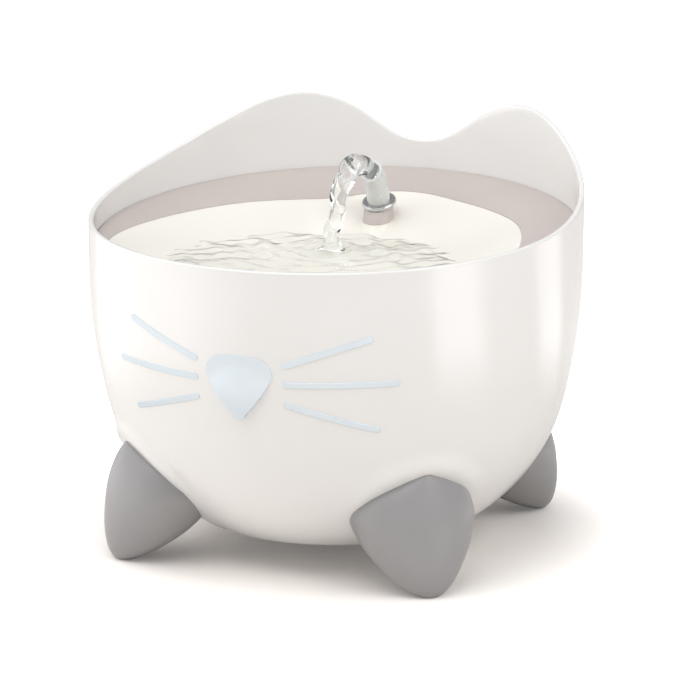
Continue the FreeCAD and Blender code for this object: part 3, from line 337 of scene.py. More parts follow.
def banded(name, dark, light, spacing, direction, roughness, metallic):
    """Bands of one real spacing: wound wire or stacked sheet."""
    material, shader, place = new_finish(name, roughness, metallic=metallic)
    bands = add_node(material, "ShaderNodeTexWave", {"Scale": per_mm(spacing) / 20, "Distortion": 0.3},
                     {"Vector": place}, bands_direction=direction)
    colour = add_node(material, "ShaderNodeMix", {6: tone(dark), 7: tone(light)},
                      {0: bands.outputs["Fac"]}, data_type="RGBA")
    relief = add_node(material, "ShaderNodeBump", {"Strength": 0.6, "Distance": 0.1 * MM},
                      {"Height": bands.outputs["Fac"]})
    material.node_tree.links.new(colour.outputs[2], shader.inputs["Base Color"])
    material.node_tree.links.new(relief.outputs["Normal"], shader.inputs["Normal"])
    return material


def circuit_board():
    """Green solder mask over glass fibre: darker tracks in right-angled runs."""
    material, shader, place = new_finish("green_solder_mask", 0.3, 1.5)
    tracks = add_node(material, "ShaderNodeTexBrick",
                      {"Scale": per_mm(9.0), "Color1": tone("2F6B45"), "Color2": tone("2A6240"),
                       "Mortar": tone("3E8458"), "Mortar Size": 0.06}, {"Vector": place})
    material.node_tree.links.new(tracks.outputs["Color"], shader.inputs["Base Color"])
    return material


def water(name, wave, depth, dark, first, last, shore):
    """Clean water: clear where it is looked into, and grey on the slopes that lean away from the eye, which
    is painted reflection of darker surroundings; shore sets how much of it is left in the middle of the pool.
    """
    material, shader, place = new_finish(name, 0.0, 1.333, transmission_weight=1.0)
    ripples = add_node(material, "ShaderNodeTexNoise",
                       {"Scale": per_mm(wave), "Detail": 1.5, "Distortion": 0.8}, {"Vector": place})
    relief = add_node(material, "ShaderNodeBump", {"Strength": 1.0, "Distance": depth * MM},
                      {"Height": ripples.outputs["Fac"]})
    lean = add_node(material, "ShaderNodeLayerWeight", {"Blend": 0.5}, {"Normal": relief.outputs["Normal"]})
    slope = add_node(material, "ShaderNodeMapRange", {"From Min": first, "From Max": last},
                     {"Value": lean.outputs["Facing"]})
    middle = (POOL_CENTRE.x * MM, POOL_CENTRE.y * MM, WATER_LEVEL * MM)
    away = add_node(material, "ShaderNodeVectorMath", {1: middle}, {0: place}, operation="DISTANCE")
    edge = add_node(material, "ShaderNodeMapRange", {"From Min": PAINTED_REFLECTION_START * MM, "From Max": PAINTED_REFLECTION_FULL * MM,
                                                           "To Min": shore},
                    {"Value": away.outputs["Value"]})
    share = add_node(material, "ShaderNodeMath", None,
                     {0: slope.outputs["Result"], 1: edge.outputs["Result"]}, operation="MULTIPLY")
    # Painted reflections: the dark colour is mixed in on the slopes that lean away, more strongly towards the
    # pool's edge
    colour = add_node(material, "ShaderNodeMix", {6: tone("FCFEFD"), 7: tone(dark)},
                      {0: share.outputs["Value"]}, data_type="RGBA")
    material.node_tree.links.new(colour.outputs[2], shader.inputs["Base Color"])
    material.node_tree.links.new(relief.outputs["Normal"], shader.inputs["Normal"])
    return material


blue_acrylic = pale_blue_acrylic()
clear_polycarbonate = frosted_polycarbonate()
steel = brushed_steel()
# Enamelled copper wire: even turns, a red-brown gloss, drawn coarse enough to show
copper_wire = banded("enamelled_copper_wire", "7A3B1E", "C9743F", 0.8, "Y", 0.3, 0.8)
# Silicon steel sheets pressed into a core: fine lines across its edges
core_steel = banded("stacked_silicon_steel", "55575A", "7C7F82", 1.0, "Y", 0.45, 0.9)
solder_mask = circuit_board()
# Painted reflections: the dark colours of the pool and the stream stand for darker surroundings seen in the
# water
pool_water = water("rippled_clear_water", 15.0, 1.5, "2E2C28", 0.70, 0.88, 0.45)
falling_water = water("falling_clear_water", 14.0, 0.9, "7E888E", 0.35, 1.0, 1.0)

FINISHES = {
    "white_shell": white_abs, "ice_insert": blue_acrylic, "grey_foot": grey_abs, "soft_rubber": silicone,
    "steel": steel, "white_inner": white_polypropylene, "board_green": solder_mask,
    "lamp_white": lamp_silicone, "pump_grey": pump_abs, "core_iron": core_steel,
    "copper_coil": copper_wire, "impeller_white": acetal, "sponge_black": sponge, "foam_white": fleece,
    "taupe_deck": taupe_polypropylene, "ivory_basin": ivory_polypropylene, "clear_spout": clear_polycarbonate,
}
for node in nodes.values():
    for holder in node.material_slots:
        holder.material = FINISHES[holder.material.name.split(".")[0]]


def hand_over(piece, body, slot, *stands_for):
    """Gives a piece its finish and its body, and hides the nodes that it stands for."""
    piece.data.materials.clear()
    piece.data.materials.append(FINISHES[slot])
    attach(piece, body)
    if stands_for:
        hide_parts(*stands_for)


# Shell: one turned wall with a wavy rounded rim, swollen over each foot

# The CAD rim's outer edge: the slack in its radius, and a height that all of it is above
RIM_SLACK = 0.1
RIM_LOWEST = 149.9


def rim_table():
    """Turns and heights of the rim's outer edge, as the CAD shell has them."""
    edge = [(math.atan2(v.co.x, -v.co.y), v.co.z / MM) for v in nodes["shell"].data.vertices
            if abs(math.hypot(v.co.x, v.co.y) / MM - RIM_RADIUS) < RIM_SLACK and v.co.z > RIM_LOWEST * MM]
    edge.sort()
    return np.array(edge)


RIM = rim_table()
RIM_BLUR = [math.radians(step) for step in (-1.5, -0.75, 0, 0.75, 1.5)]


def rim_height(turn):
    """The rim's height at one turn from the front."""
    heights = [np.interp(turn + step, RIM[:, 0], RIM[:, 1], period=math.tau) for step in RIM_BLUR]
    return float(np.mean(heights))


def shell_outline(grown, top_rows):
    """The shell's outer profile, from the middle of the base to the top."""
    outline = [Vector((r, BASE - grown)) for r in (0.0, 20.0, 42.0, CORNER_CENTRE.x)]
    outline += arc(CORNER_CENTRE, CORNER_RADIUS + grown, 90.0, BELLY_TURN, 6)
    outline += arc(BELLY_CENTRE, BELLY_RADIUS + grown, BELLY_TURN, SIDE_TURN, 30)
    outline += arc(SIDE_CENTRE, SIDE_RADIUS + grown, SIDE_TURN, 0.0, 24)
    return outline + [Vector((RIM_RADIUS + grown, STRAIGHT + row)) for row in range(1, top_rows + 1)]


# The swell of the wall round each foot: its height, its oval, and how it grows and fades
COLLAR_RISE = 1.9
COLLAR_RADIUS = 98.0
COLLAR_CENTRE = 30.0
COLLAR_HALF_WIDTH = 31.0
COLLAR_HALF_HEIGHT = 28.5
COLLAR_START = 36.0
COLLAR_RUN = 14.0
COLLAR_INNER_FADE = 0.3
COLLAR_OUTER_FADE = 0.27
# How finely the shell is drawn, and its rim's rounding
RIM_ROWS = 18
RIM_EDGE = 0.95
SHELL_STEPS = 288


def collar_swell(turn, height):
    """How far the wall stands out round the nearest foot, in millimetres."""
    quarter = (math.degrees(turn) + 360.0) % 90.0 - 45.0
    across = math.radians(quarter) * COLLAR_RADIUS
    rise = COLLAR_RISE * min(1.0, max(0.0, (height - COLLAR_START) / COLLAR_RUN))
    reach = math.hypot(across / COLLAR_HALF_WIDTH, (height - COLLAR_CENTRE) / COLLAR_HALF_HEIGHT)
    if reach <= 1.0:
        return rise * max(0.0, 1 - (1.0 - reach) / COLLAR_INNER_FADE)
    fade = max(0.0, 1 - (reach - 1.0) / COLLAR_OUTER_FADE)
    return rise * fade * fade * (3 - 2 * fade)


def shell_moulding():
    """The shell's outer face, spun from its profile, drawn to the rim and then given its wall."""
    shell = turned("shell_moulding", shell_outline(0.0, RIM_ROWS), SHELL_STEPS)
    normals = [Vector(v.normal) for v in shell.data.vertices]
    for vertex, normal in zip(shell.data.vertices, normals):
        turn = math.atan2(vertex.co.x, -vertex.co.y)
        height = vertex.co.z / MM
        if height > STRAIGHT:
            vertex.co.z = (STRAIGHT + (height - STRAIGHT) / RIM_ROWS * (rim_height(turn) - STRAIGHT)) * MM
        elif height > BASE + 1:
            vertex.co += normal * collar_swell(turn, height) * MM
    return thickened(shell, WALL, RIM_EDGE, 4)


# The ledge: its width, its top and bottom from the tray's level, and how far forward it runs
LEDGE_WIDTH = 7.0
LEDGE_TOP = -2.4
LEDGE_BOTTOM = -4.9
LEDGE_ENDS = -50.0
LEDGE_EDGE = 0.3


def tray_ledge():
    """The ring inside the wall that carries the tray, open at the front."""
    inner = RIM_RADIUS - WALL - LEDGE_WIDTH
    outer = RIM_RADIUS - WALL / 2
    ring = turned("tray_ledge", [(outer, LEDGE_BOTTOM), (inner, LEDGE_BOTTOM), (inner, LEDGE_TOP),
                                 (outer, LEDGE_TOP), (outer, LEDGE_BOTTOM)], 192, TRAY_PLACE)
    edit(ring)
    bpy.ops.mesh.bisect(plane_co=(0, LEDGE_ENDS * MM, 0), plane_no=(0, -1, 0),
                        clear_outer=True, use_fill=True)
    settle(ring)
    round_edges(ring, LEDGE_EDGE, 2)
    return settle(ring)


hand_over(shell_moulding(), "root", "white_shell", "shell")
hand_over(tray_ledge(), "root", "white_shell")


# Nose and whiskers: plates bent to the wall, with softened edges

def wall_depth(across, height, offset):
    """How far forward the shell's front is at a place seen from the front, moved outwards by an offset."""
    if height >= STRAIGHT:
        radius = RIM_RADIUS
    elif height >= along(SIDE_CENTRE, SIDE_RADIUS, SIDE_TURN).y:
        radius = SIDE_CENTRE.x + math.sqrt(SIDE_RADIUS ** 2 - (STRAIGHT - height) ** 2)
    else:
        radius = BELLY_CENTRE.x + math.sqrt(BELLY_RADIUS ** 2 - (BELLY_CENTRE.y - height) ** 2)
    return math.sqrt((radius + offset) ** 2 - across ** 2)


# The nose's dome: its centre forwards and up, its radius, and how softly it meets the plate
DOME_CENTRE = Vector((70.0, 97.2))
DOME_RADIUS = 44.9
DOME_BLEND = 0.4


def dome_depth(across, height):
    """How far forward the nose's dome is at a place seen from the front."""
    return DOME_CENTRE.x + math.sqrt(DOME_RADIUS ** 2 - across ** 2 - (height - DOME_CENTRE.y) ** 2)


def plate(name, outline, spacing, domed=False):
    """A thin plate with this outline, cut fine enough to bend, whose face can swell into a dome."""
    begin()
    bpy.ops.mesh.primitive_circle_add(vertices=len(outline), radius=MM, fill_type="NGON")
    piece = named(name)
    for vertex, point in zip(piece.data.vertices, outline):
        vertex.co = (point[0] * MM, 0, point[1] * MM)
    xs = [p[0] for p in outline]
    zs = [p[1] for p in outline]
    for normal, low, high in (((1, 0, 0), min(xs), max(xs)), ((0, 0, 1), min(zs), max(zs))):
        count = int((high - low) / spacing)
        for step in range(1, count + 1):
            cut = low + (high - low) * step / (count + 1)
            edit(piece)
            bpy.ops.mesh.bisect(plane_co=(cut * MM * normal[0], 0, cut * MM * normal[2]), plane_no=normal)
    edit(piece)
    bpy.ops.mesh.normals_make_consistent(inside=False)
    bpy.ops.mesh.extrude_region_move(TRANSFORM_OT_translate={"value": (0, -MM, 0)})
    settle(piece)
    round_edges(piece, INSERT_EDGE, 3, 60.0)
    for vertex in piece.data.vertices:
        across, level, height = vertex.co.x / MM, -vertex.co.y / MM, vertex.co.z / MM
        back = wall_depth(across, height, -INSERT_DEPTH)
        face = wall_depth(across, height, INSERT_PROUD)
        if domed:
            rise = dome_depth(across, height) - face
            face += (rise + math.hypot(rise, DOME_BLEND)) / 2
        vertex.co.y = -(back + (face - back) * level) * MM
    return settle(piece)


def arc_through(start, middle, end, count):
    """Points of the arc through three points of a front view, the last one left out."""
    a, b, c = (complex(*p) for p in (start, middle, end))
    w = (c - a) / (b - a)
    centre = (b - a) * (w - abs(w) ** 2) / (2j * w.imag) + a
    radius = abs(a - centre)
    turns = [math.atan2((p - centre).imag, (p - centre).real) for p in (a, b, c)]
    sweep = (turns[2] - turns[0]) % math.tau
    if (turns[1] - turns[0]) % math.tau > sweep:
        sweep -= math.tau
    return [(centre.real + radius * math.cos(turns[0] + sweep * i / count),
             centre.imag + radius * math.sin(turns[0] + sweep * i / count)) for i in range(count)]


def nose_outline():
    """A shield with two round upper corners and a round tip, its sides a little bowed."""
    corner, corner_radius = Vector((7.7, 103.6)), 8.0
    tip, tip_radius = Vector((0, 85.4)), 3.0
    bulge = 0.8
    run = tip - corner
    lean = math.atan2(run.x, -run.y) + math.asin((corner_radius - tip_radius) / run.length)
    side = Vector((abs(math.cos(lean)), -abs(math.sin(lean))))
    shoulder = corner + side * corner_radius
    flank = tip + side * tip_radius
    top = corner + Vector((0, corner_radius))
    elbow = corner + Vector((1, 0.6)).normalized() * corner_radius

    def flip(point):
        return Vector((-point.x, point.y))

    def bowed(start, end, rise):
        out = Vector((end.y - start.y, start.x - end.x)).normalized()
        return (start + end) / 2 + out * rise

    arcs = [(flip(flank), tip - Vector((0, tip_radius)), flank, 10),
            (flank, bowed(flank, shoulder, bulge), shoulder, 20),
            (shoulder, elbow, top, 18),
            (top, bowed(top, flip(top), bulge / 2), flip(top), 16),
            (flip(top), flip(elbow), flip(shoulder), 18),
            (flip(shoulder), bowed(flip(shoulder), flip(flank), bulge), flip(flank), 20)]
    return [point for a, b, c, count in arcs for point in arc_through(a, b, c, count)]


# How far from the middle the whiskers begin, and half their width
WHISKER_START = 20.0
WHISKER_HALF_WIDTH = 1.45


def whisker_outline(side, start, length, angle):
    """A round-ended bar that leaves the nose at an angle."""
    half, turn = WHISKER_HALF_WIDTH, math.radians(angle)
    points = []
    for centre, first in ((length - half, -90.0), (half, 90.0)):
        for step in range(13):
            bend = math.radians(first + 15.0 * step)
            x, z = centre + half * math.cos(bend), half * math.sin(bend)
            points.append((side * (WHISKER_START + x * math.cos(turn) - z * math.sin(turn)),
                           start + x * math.sin(turn) + z * math.cos(turn)))
    return points if side > 0 else points[::-1]


hand_over(plate("nose_window", nose_outline(), 2.0, True), "root", "ice_insert", "nose_lens")
# Each whisker's height at its inner end, its length and its slope in degrees
WHISKERS = {"upper": (108.3, 40.2, 19.2), "middle": (99.9, 47.2, 0.9), "lower": (91.1, 40.7, -17.5)}
for side, hand in ((1, "right"), (-1, "left")):
    for level, (start, length, angle) in WHISKERS.items():
        bar = plate(f"whisker_bar_{hand}_{level}", whisker_outline(side, start, length, angle), 2.5)
        hand_over(bar, "root", "ice_insert", f"whisker_{hand}_{level}")


# Feet: claws drawn up through ovals, hollowed to sit on the shell

# The claw's ovals: height, inner and outer reach from the shell's middle, and half width
CLAW_ROWS = [
    (0.4, 101.5, 111.0, 5.4), (2.5, 95.5, 112.5, 9.5), (6.0, 87.5, 113.9, 14.0),
    (13.0, 76.0, 114.8, 20.0), (22.0, 67.0, 114.3, 25.6), (34.0, 60.0, 112.4, 29.0),
    (44.0, 64.0, 109.4, 25.0), (51.0, 76.0, 106.8, 15.0), (55.0, 92.0, 105.0, 4.0),
]
CLAW_SIDES = 96
CLAW_STEPS = 44
FOOT_GAP = 0.12


def claw(corner, turn):
    """One claw, drawn up from its tip through smooth ovals, one above the other."""
    begin()
    bpy.ops.mesh.primitive_circle_add(vertices=CLAW_SIDES, radius=MM, fill_type="NGON")
    foot = named(f"claw_{corner}")
    below = (0.0, -1.0, 1.0, 1.0)
    for index, row in enumerate(smooth_rows(CLAW_ROWS, CLAW_STEPS)):
        height, inner, outer, half = row
        old_height, old_inner, old_outer, old_half = below
        if index:
            level = old_height * MM - 1e-7
            rise = (height - old_height) * MM
            pick_faces(foot, lambda centre, normal: centre.z > level and abs(normal.z) > 0.999)
            bpy.ops.mesh.extrude_region_move(TRANSFORM_OT_translate={"value": (0, 0, rise)})
            only(foot)
        old_middle, old_reach = (old_outer + old_inner) / 2, (old_outer - old_inner) / 2
        for vertex in list(foot.data.vertices)[-CLAW_SIDES:]:
            x, y = vertex.co.x / MM, vertex.co.y / MM
            angle = math.atan2(y / old_half, (x - old_middle) / old_reach)
            vertex.co = Vector(((outer + inner) / 2 + (outer - inner) / 2 * math.cos(angle),
                                half * math.sin(angle), height)) * MM
        below = row
    foot.data.transform(Matrix.Rotation(math.radians(turn), 4, "Z"))
    return settle(foot)


foot_seat = turned("foot_seat_tool", shell_outline(FOOT_GAP, 1) + [Vector((0, STRAIGHT + 1))], 192)
for corner, turn in FOOT_TURNS.items():
    foot = claw(corner, turn)
    modify(foot, "BOOLEAN", operation="DIFFERENCE", object=foot_seat, solver="EXACT")
    settle(foot, 35.0)
    hand_over(foot, "root", "grey_foot", f"foot_{corner}")
bpy.data.objects.remove(foot_seat)


# Tray: a taupe deck that falls inwards to an ivory basin, uneven at its lip and round at the water

DECK_RADIUS = 112.2
DECK_FALL = math.tan(math.radians(3.0))
TRAY_FALL = math.tan(math.radians(TRAY_TILT))
LIP_CENTRE = -20.0
# Turns round the lip's centre, in degrees, and how far out the lip is there
LIP = np.array([
    (7, 91.6), (23, 92.8), (37, 95.0), (50, 94.2), (60, 93.8), (70, 94.3), (77, 97.0), (84, 97.6), (92, 96.0),
    (99, 88.5), (108, 81.5), (120, 82.4), (137, 86.3), (153, 88.7), (168, 92.7), (182, 97.6), (193, 100.0),
    (208, 98.0), (225, 95.5), (248, 91.0), (270, 89.0), (292, 90.0), (315, 91.0), (338, 91.2)])
LIP_BLUR = (-5.0, -2.5, 0.0, 2.5, 5.0)
SEAM = 0.15
# How finely the deck and the basin are drawn, how thick they are, and the edge between them
DECK_ROWS = 8
DECK_THICKNESS = 2.2
BASIN_ROWS = 50
BASIN_THICKNESS = 2.0
TRAY_STEPS = 192
TRAY_EDGE = 0.35
LIP_DROP = 0.25
BROW_SHARE = 0.975
BROW_DROP = 1.3
# The basin's rings from the shore to its middle: radius, centre and height
BASIN_RINGS = [(POOL_RADIUS, POOL_CENTRE.x, POOL_CENTRE.y, WATER_LEVEL),
               (40.0, 0.0, -22.0, 128.8), (18.0, 0.0, -20.0, 126.8), (0.0, 0.0, -20.0, 126.5)]
# How far on the way from the lip to the middle the lip, the brow and the rings are
BASIN_STOPS = [0.0, 0.08, 0.42, 0.68, 0.86, 1.0]
BASIN_BLUR = (-0.05, -0.025, 0.0, 0.025, 0.05)
BASIN_SOFT = (0.11, 0.97)


def deck_height(x, y):
    """The height of the deck's face at a place, in millimetres."""
    return TRAY_HEIGHT + y * TRAY_FALL - (DECK_RADIUS - math.hypot(x, y)) * DECK_FALL


def lip_point(turn, growth):
    """The basin's lip at a turn round its centre, wider where it makes room for the spout."""
    reach = growth + float(np.mean([np.interp(math.degrees(turn) + step, LIP[:, 0], LIP[:, 1], period=360.0)
                                    for step in LIP_BLUR]))
    return reach * math.cos(turn), LIP_CENTRE + reach * math.sin(turn)


def reach_to_edge(start, heading):
    """How far the deck's outer edge is from a place in one direction."""
    ahead = start.dot(heading)
    return -ahead + math.sqrt(ahead ** 2 - start.length_squared + DECK_RADIUS ** 2)


def ringed_disc(name, first, last, steps):
    """A flat disc of even rings, one millimetre apart, to be drawn out to its form."""
    return turned(name, [(float(ring), 0.0) for ring in range(first, last + 1)], steps)


def facing_up(piece):
    """Turns a sheet's faces upwards."""
    if sum(face.normal.z for face in piece.data.polygons) < 0:
        edit(piece)
        bpy.ops.mesh.flip_normals()
        only(piece)


def deck_moulding():
    """The deck, drawn from the basin's lip out to its round edge."""
    deck = ringed_disc("deck_moulding", 1, 1 + DECK_ROWS, TRAY_STEPS)
    for vertex in deck.data.vertices:
        share = (math.hypot(vertex.co.x, vertex.co.y) / MM - 1) / DECK_ROWS
        inner = Vector(lip_point(math.atan2(vertex.co.y, vertex.co.x), SEAM))
        heading = (inner - Vector((0, LIP_CENTRE))).normalized()
        outer = inner + heading * reach_to_edge(inner, heading)
        x, y = inner.lerp(outer, share)
        vertex.co = Vector((x, y, deck_height(x, y))) * MM
    facing_up(deck)
    return thickened(deck, DECK_THICKNESS, TRAY_EDGE)


def basin_point(turn, share):
    """The basin's face at a turn, from the lip at 0 to the middle of its floor at 1."""
    x, y = lip_point(turn, 0.0)
    height = deck_height(x, y) - LIP_DROP
    rows = [(x, y, height),
            (x * BROW_SHARE, LIP_CENTRE + (y - LIP_CENTRE) * BROW_SHARE, height - BROW_DROP)]
    rows += [(across + radius * math.cos(turn), back + radius * math.sin(turn), level)
             for radius, across, back, level in BASIN_RINGS]
    return [float(np.interp(share, BASIN_STOPS, column)) for column in zip(*rows)]


def basin_moulding():
    """The basin, drawn through its rings and softened between its brow and its floor."""
    basin = ringed_disc("basin_moulding", 0, BASIN_ROWS, TRAY_STEPS)
    for vertex in basin.data.vertices:
        share = 1 - math.hypot(vertex.co.x, vertex.co.y) / MM / BASIN_ROWS
        turn = math.atan2(vertex.co.y, vertex.co.x)
        near = [basin_point(turn, min(1.0, max(0.0, share + step))) for step in BASIN_BLUR]
        soft = np.mean(near, axis=0) if BASIN_SOFT[0] < share < BASIN_SOFT[1] else basin_point(turn, share)
        vertex.co = Vector(soft) * MM
    facing_up(basin)
    return thickened(basin, BASIN_THICKNESS, TRAY_EDGE)


# The stand under the spout's collar: where its top is, how tall it is and how far forward its foot stands
STAND_BACK = 55.4
STAND_TOP = 149.0
STAND_HEIGHT = 15.0
STAND_REACH = 4.5


def spout_stand(name, outline):
    """A turned part of the stand under the spout's collar, which leans forward to the water's edge."""
    stand = turned(name, outline, 96)
    for vertex in stand.data.vertices:
        x, y, z = vertex.co / MM
        fall = min(1.0, -z / STAND_HEIGHT)
        lean = y * math.tan(math.radians(SPOUT_LEAN)) * (1 - fall)
        vertex.co = Vector((x, y + STAND_BACK - STAND_REACH * fall, z + STAND_TOP + lean)) * MM
    return settle(stand, 50.0)


def spout_painted_shade_band():
    """The taupe band between the collar and the pedestal: painted shade under the collar, drawn as its own
    taupe piece.
    """
    return spout_stand("spout_painted_shade_band", [
        (5.2, 0.0), (6.7, 0.0), (7.0, -0.4), (7.2, -4.0), (7.4, -7.2), (7.1, -7.6), (5.2, -7.6), (5.2, 0.0)])


def spout_pedestal():
    """The foot that flares where it meets the basin."""
    return spout_stand("spout_pedestal", [
        (5.2, -7.6), (7.1, -7.6), (7.6, -8.0), (8.0, -10.5), (8.8, -13.0), (10.4, -15.0), (10.4, -17.0),
        (5.2, -17.0), (5.2, -7.6)])


def riser_socket():
    """The sleeve under the tray that slips over the pump's riser."""
    return turned("riser_socket", [
        (6.45, 122.4), (6.85, 122.0), (8.2, 122.0), (8.6, 122.4), (8.6, 139.0), (6.45, 139.0), (6.45, 122.4)],
        64, Matrix.Translation((0, 60.0 * MM, 0)))


hand_over(deck_moulding(), "tray", "taupe_deck", "tray_deck")
# Painted shade: the taupe band under the spout's collar stands for the shadow there
hand_over(spout_painted_shade_band(), "tray", "taupe_deck")
hand_over(basin_moulding(), "tray", "ivory_basin", "tray_basin")
hand_over(spout_pedestal(), "tray", "ivory_basin")
hand_over(riser_socket(), "tray", "ivory_basin")


# Water: the pool in the basin, with rings round the falling stream

# Where the stream lands, the rings and the raised crown round it, and the pool's crossing swells
LANDING = Vector((-5.5, 7.6))
RING_HEIGHT = 0.75
RING_REACH = 45.0
CROWN_HEIGHT = 1.5
CROWN_RADIUS = 5.5
CROWN_WIDTH = 2.2
SWELLS = [(0.28, 0.16, 0.21, 1.3), (0.22, -0.22, 0.33, 0.0), (0.17, 0.36, 0.30, 2.1),
          (0.13, -0.30, 0.50, 0.6), (0.08, 0.50, 0.52, 4.0), (0.05, -0.60, 0.69, 2.7)]


def ripple(x, y):
    """The height of the pool's ripples at a place, in millimetres."""
    away = math.hypot(x - LANDING.x, y - LANDING.y)
    round_it = math.atan2(y - LANDING.y, x - LANDING.x)
    wobble = 0.8 * math.sin(3.0 * round_it + 0.05 * away)
    rings = RING_HEIGHT * math.exp(-away / RING_REACH) * math.sin(away * 0.62 + wobble)
    crown = CROWN_HEIGHT * math.exp(-((away - CROWN_RADIUS) / CROWN_WIDTH) ** 2)
    swirl = 0.0
    for height, along_x, along_y, shift in SWELLS:
        bend = 1.4 * math.sin(0.06 * x - 0.05 * y + shift)
        swirl += height * math.sin(along_x * x + along_y * y + shift + bend)
    return rings + crown + swirl


# The bowl that cuts the pool: how far it sinks into the basin, where it begins and how it is drawn
SUNK = 0.3
BOWL_START = 0.3
BOWL_ROWS = 50
BOWL_STEPS = 128
# The sheet of water: its size and place, its cells, and its depth before it is cut
SHEET_SIZE = 150.0
SHEET_BACK = -25.0
SHEET_CELLS = 140
SHEET_DEPTH = 30.0


def pool():
    """The pool: a rippled block of water, cut to the basin's form."""
    bowl = ringed_disc("pool_bowl_tool", 0, BOWL_ROWS, BOWL_STEPS)
    for vertex in bowl.data.vertices:
        share = 1 - math.hypot(vertex.co.x, vertex.co.y) / MM / BOWL_ROWS
        turn = math.atan2(vertex.co.y, vertex.co.x)
        x, y, z = basin_point(turn, BOWL_START + (1 - BOWL_START) * share)
        vertex.co = Vector((x, y, z - SUNK)) * MM
    edit(bowl)
    bpy.ops.mesh.extrude_region_move(TRANSFORM_OT_translate={"value": (0, 0, SHEET_DEPTH * MM)})
    settle(bowl)
    begin()
    bpy.ops.mesh.primitive_grid_add(x_subdivisions=SHEET_CELLS, y_subdivisions=SHEET_CELLS,
                                    size=SHEET_SIZE * MM, location=(0, SHEET_BACK * MM, WATER_LEVEL * MM))
    sheet = named("water_pool")
    edit(sheet)
    bpy.ops.mesh.extrude_region_move(TRANSFORM_OT_translate={"value": (0, 0, -SHEET_DEPTH * MM)})
    settle(sheet)
    for vertex in sheet.data.vertices:
        if vertex.co.z > (WATER_LEVEL - 1) * MM:
            vertex.co.z += ripple(vertex.co.x / MM, vertex.co.y / MM) * MM
    modify(sheet, "BOOLEAN", operation="INTERSECT", object=bowl, solver="EXACT")
    bpy.data.objects.remove(bowl)
    return settle(sheet, 60.0)


# The stream's line from the spout to under the water: place and radius
STREAM = [
    (0.0, 46.5, 164.8, 3.9), (-0.3, 41.0, 168.6, 4.3), (-0.9, 34.5, 172.0, 4.9), (-1.6, 27.5, 173.0, 5.0),
    (-2.8, 21.0, 170.0, 4.8), (-3.8, 16.3, 163.5, 4.3), (-4.6, 12.8, 155.0, 3.7), (-5.2, 10.2, 146.0, 3.3),
    (-5.5, 8.2, 139.0, 3.9), (-5.5, 7.6, 135.4, 5.4), (-5.5, 7.2, 132.4, 5.0),
]
CALM_LENGTH = 8.0


def stream():
    """The falling stream: a thick twisting rope of water that narrows as it speeds up."""
    begin()
    bpy.ops.curve.primitive_nurbs_path_add()
    path = named("water_stream_path")
    path.data.splines.clear()
    spline = path.data.splines.new("NURBS")
    spline.points.add(len(STREAM) - 1)
    for point, (x, y, z, radius) in zip(spline.points, STREAM):
        point.co = (x * MM, y * MM, z * MM, 1.0)
        point.radius = radius
    spline.order_u = 4
    spline.use_endpoint_u = True
    spline.resolution_u = 8
    path.data.bevel_depth = MM
    path.data.bevel_resolution = 10
    path.data.use_fill_caps = True
    only(path)
    bpy.ops.object.convert(target="MESH")
    piece = named("water_stream")
    settle(piece, 80.0)
    normals = [Vector(v.normal) for v in piece.data.vertices]
    for vertex, normal in zip(piece.data.vertices, normals):
        x, y, z = vertex.co / MM
        twist = 0.5 * math.sin(0.6 * x + 0.35 * z) + 0.35 * math.sin(0.5 * y - 0.5 * z + 0.8)
        bead = 0.25 * math.sin(0.8 * z + 0.9 * x + 0.4)
        calm = min(1.0, max(0.0, (STREAM[0][1] - y) / CALM_LENGTH))
        vertex.co += normal * (twist + bead) * calm * MM
    modify(piece, "SUBSURF", levels=1, render_levels=1)
    return settle(piece, 80.0)


for piece, finish, body in ((pool(), pool_water, "tray"), (stream(), falling_water, "spout")):
    piece.data.materials.clear()
    piece.data.materials.append(finish)
    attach(piece, body)


# Studio: pale floor, soft lamps and the camera

FLOOR_SIZE = 14.0
FLOOR_BACK = 3.0
# Bright cards on the paper that only gloss shows: their azimuths from the front, and their levels
REFLECTED_CARDS = [
    (-118.0, 0.0), (-98.0, 0.35), (-46.0, 0.5), (-12.0, 0.0), (60.0, 0.0), (66.0, 0.9),
    (82.0, 0.9), (90.0, 0.1), (117.0, 0.1), (123.0, 0.6), (136.0, 0.6), (143.0, 0.1)]


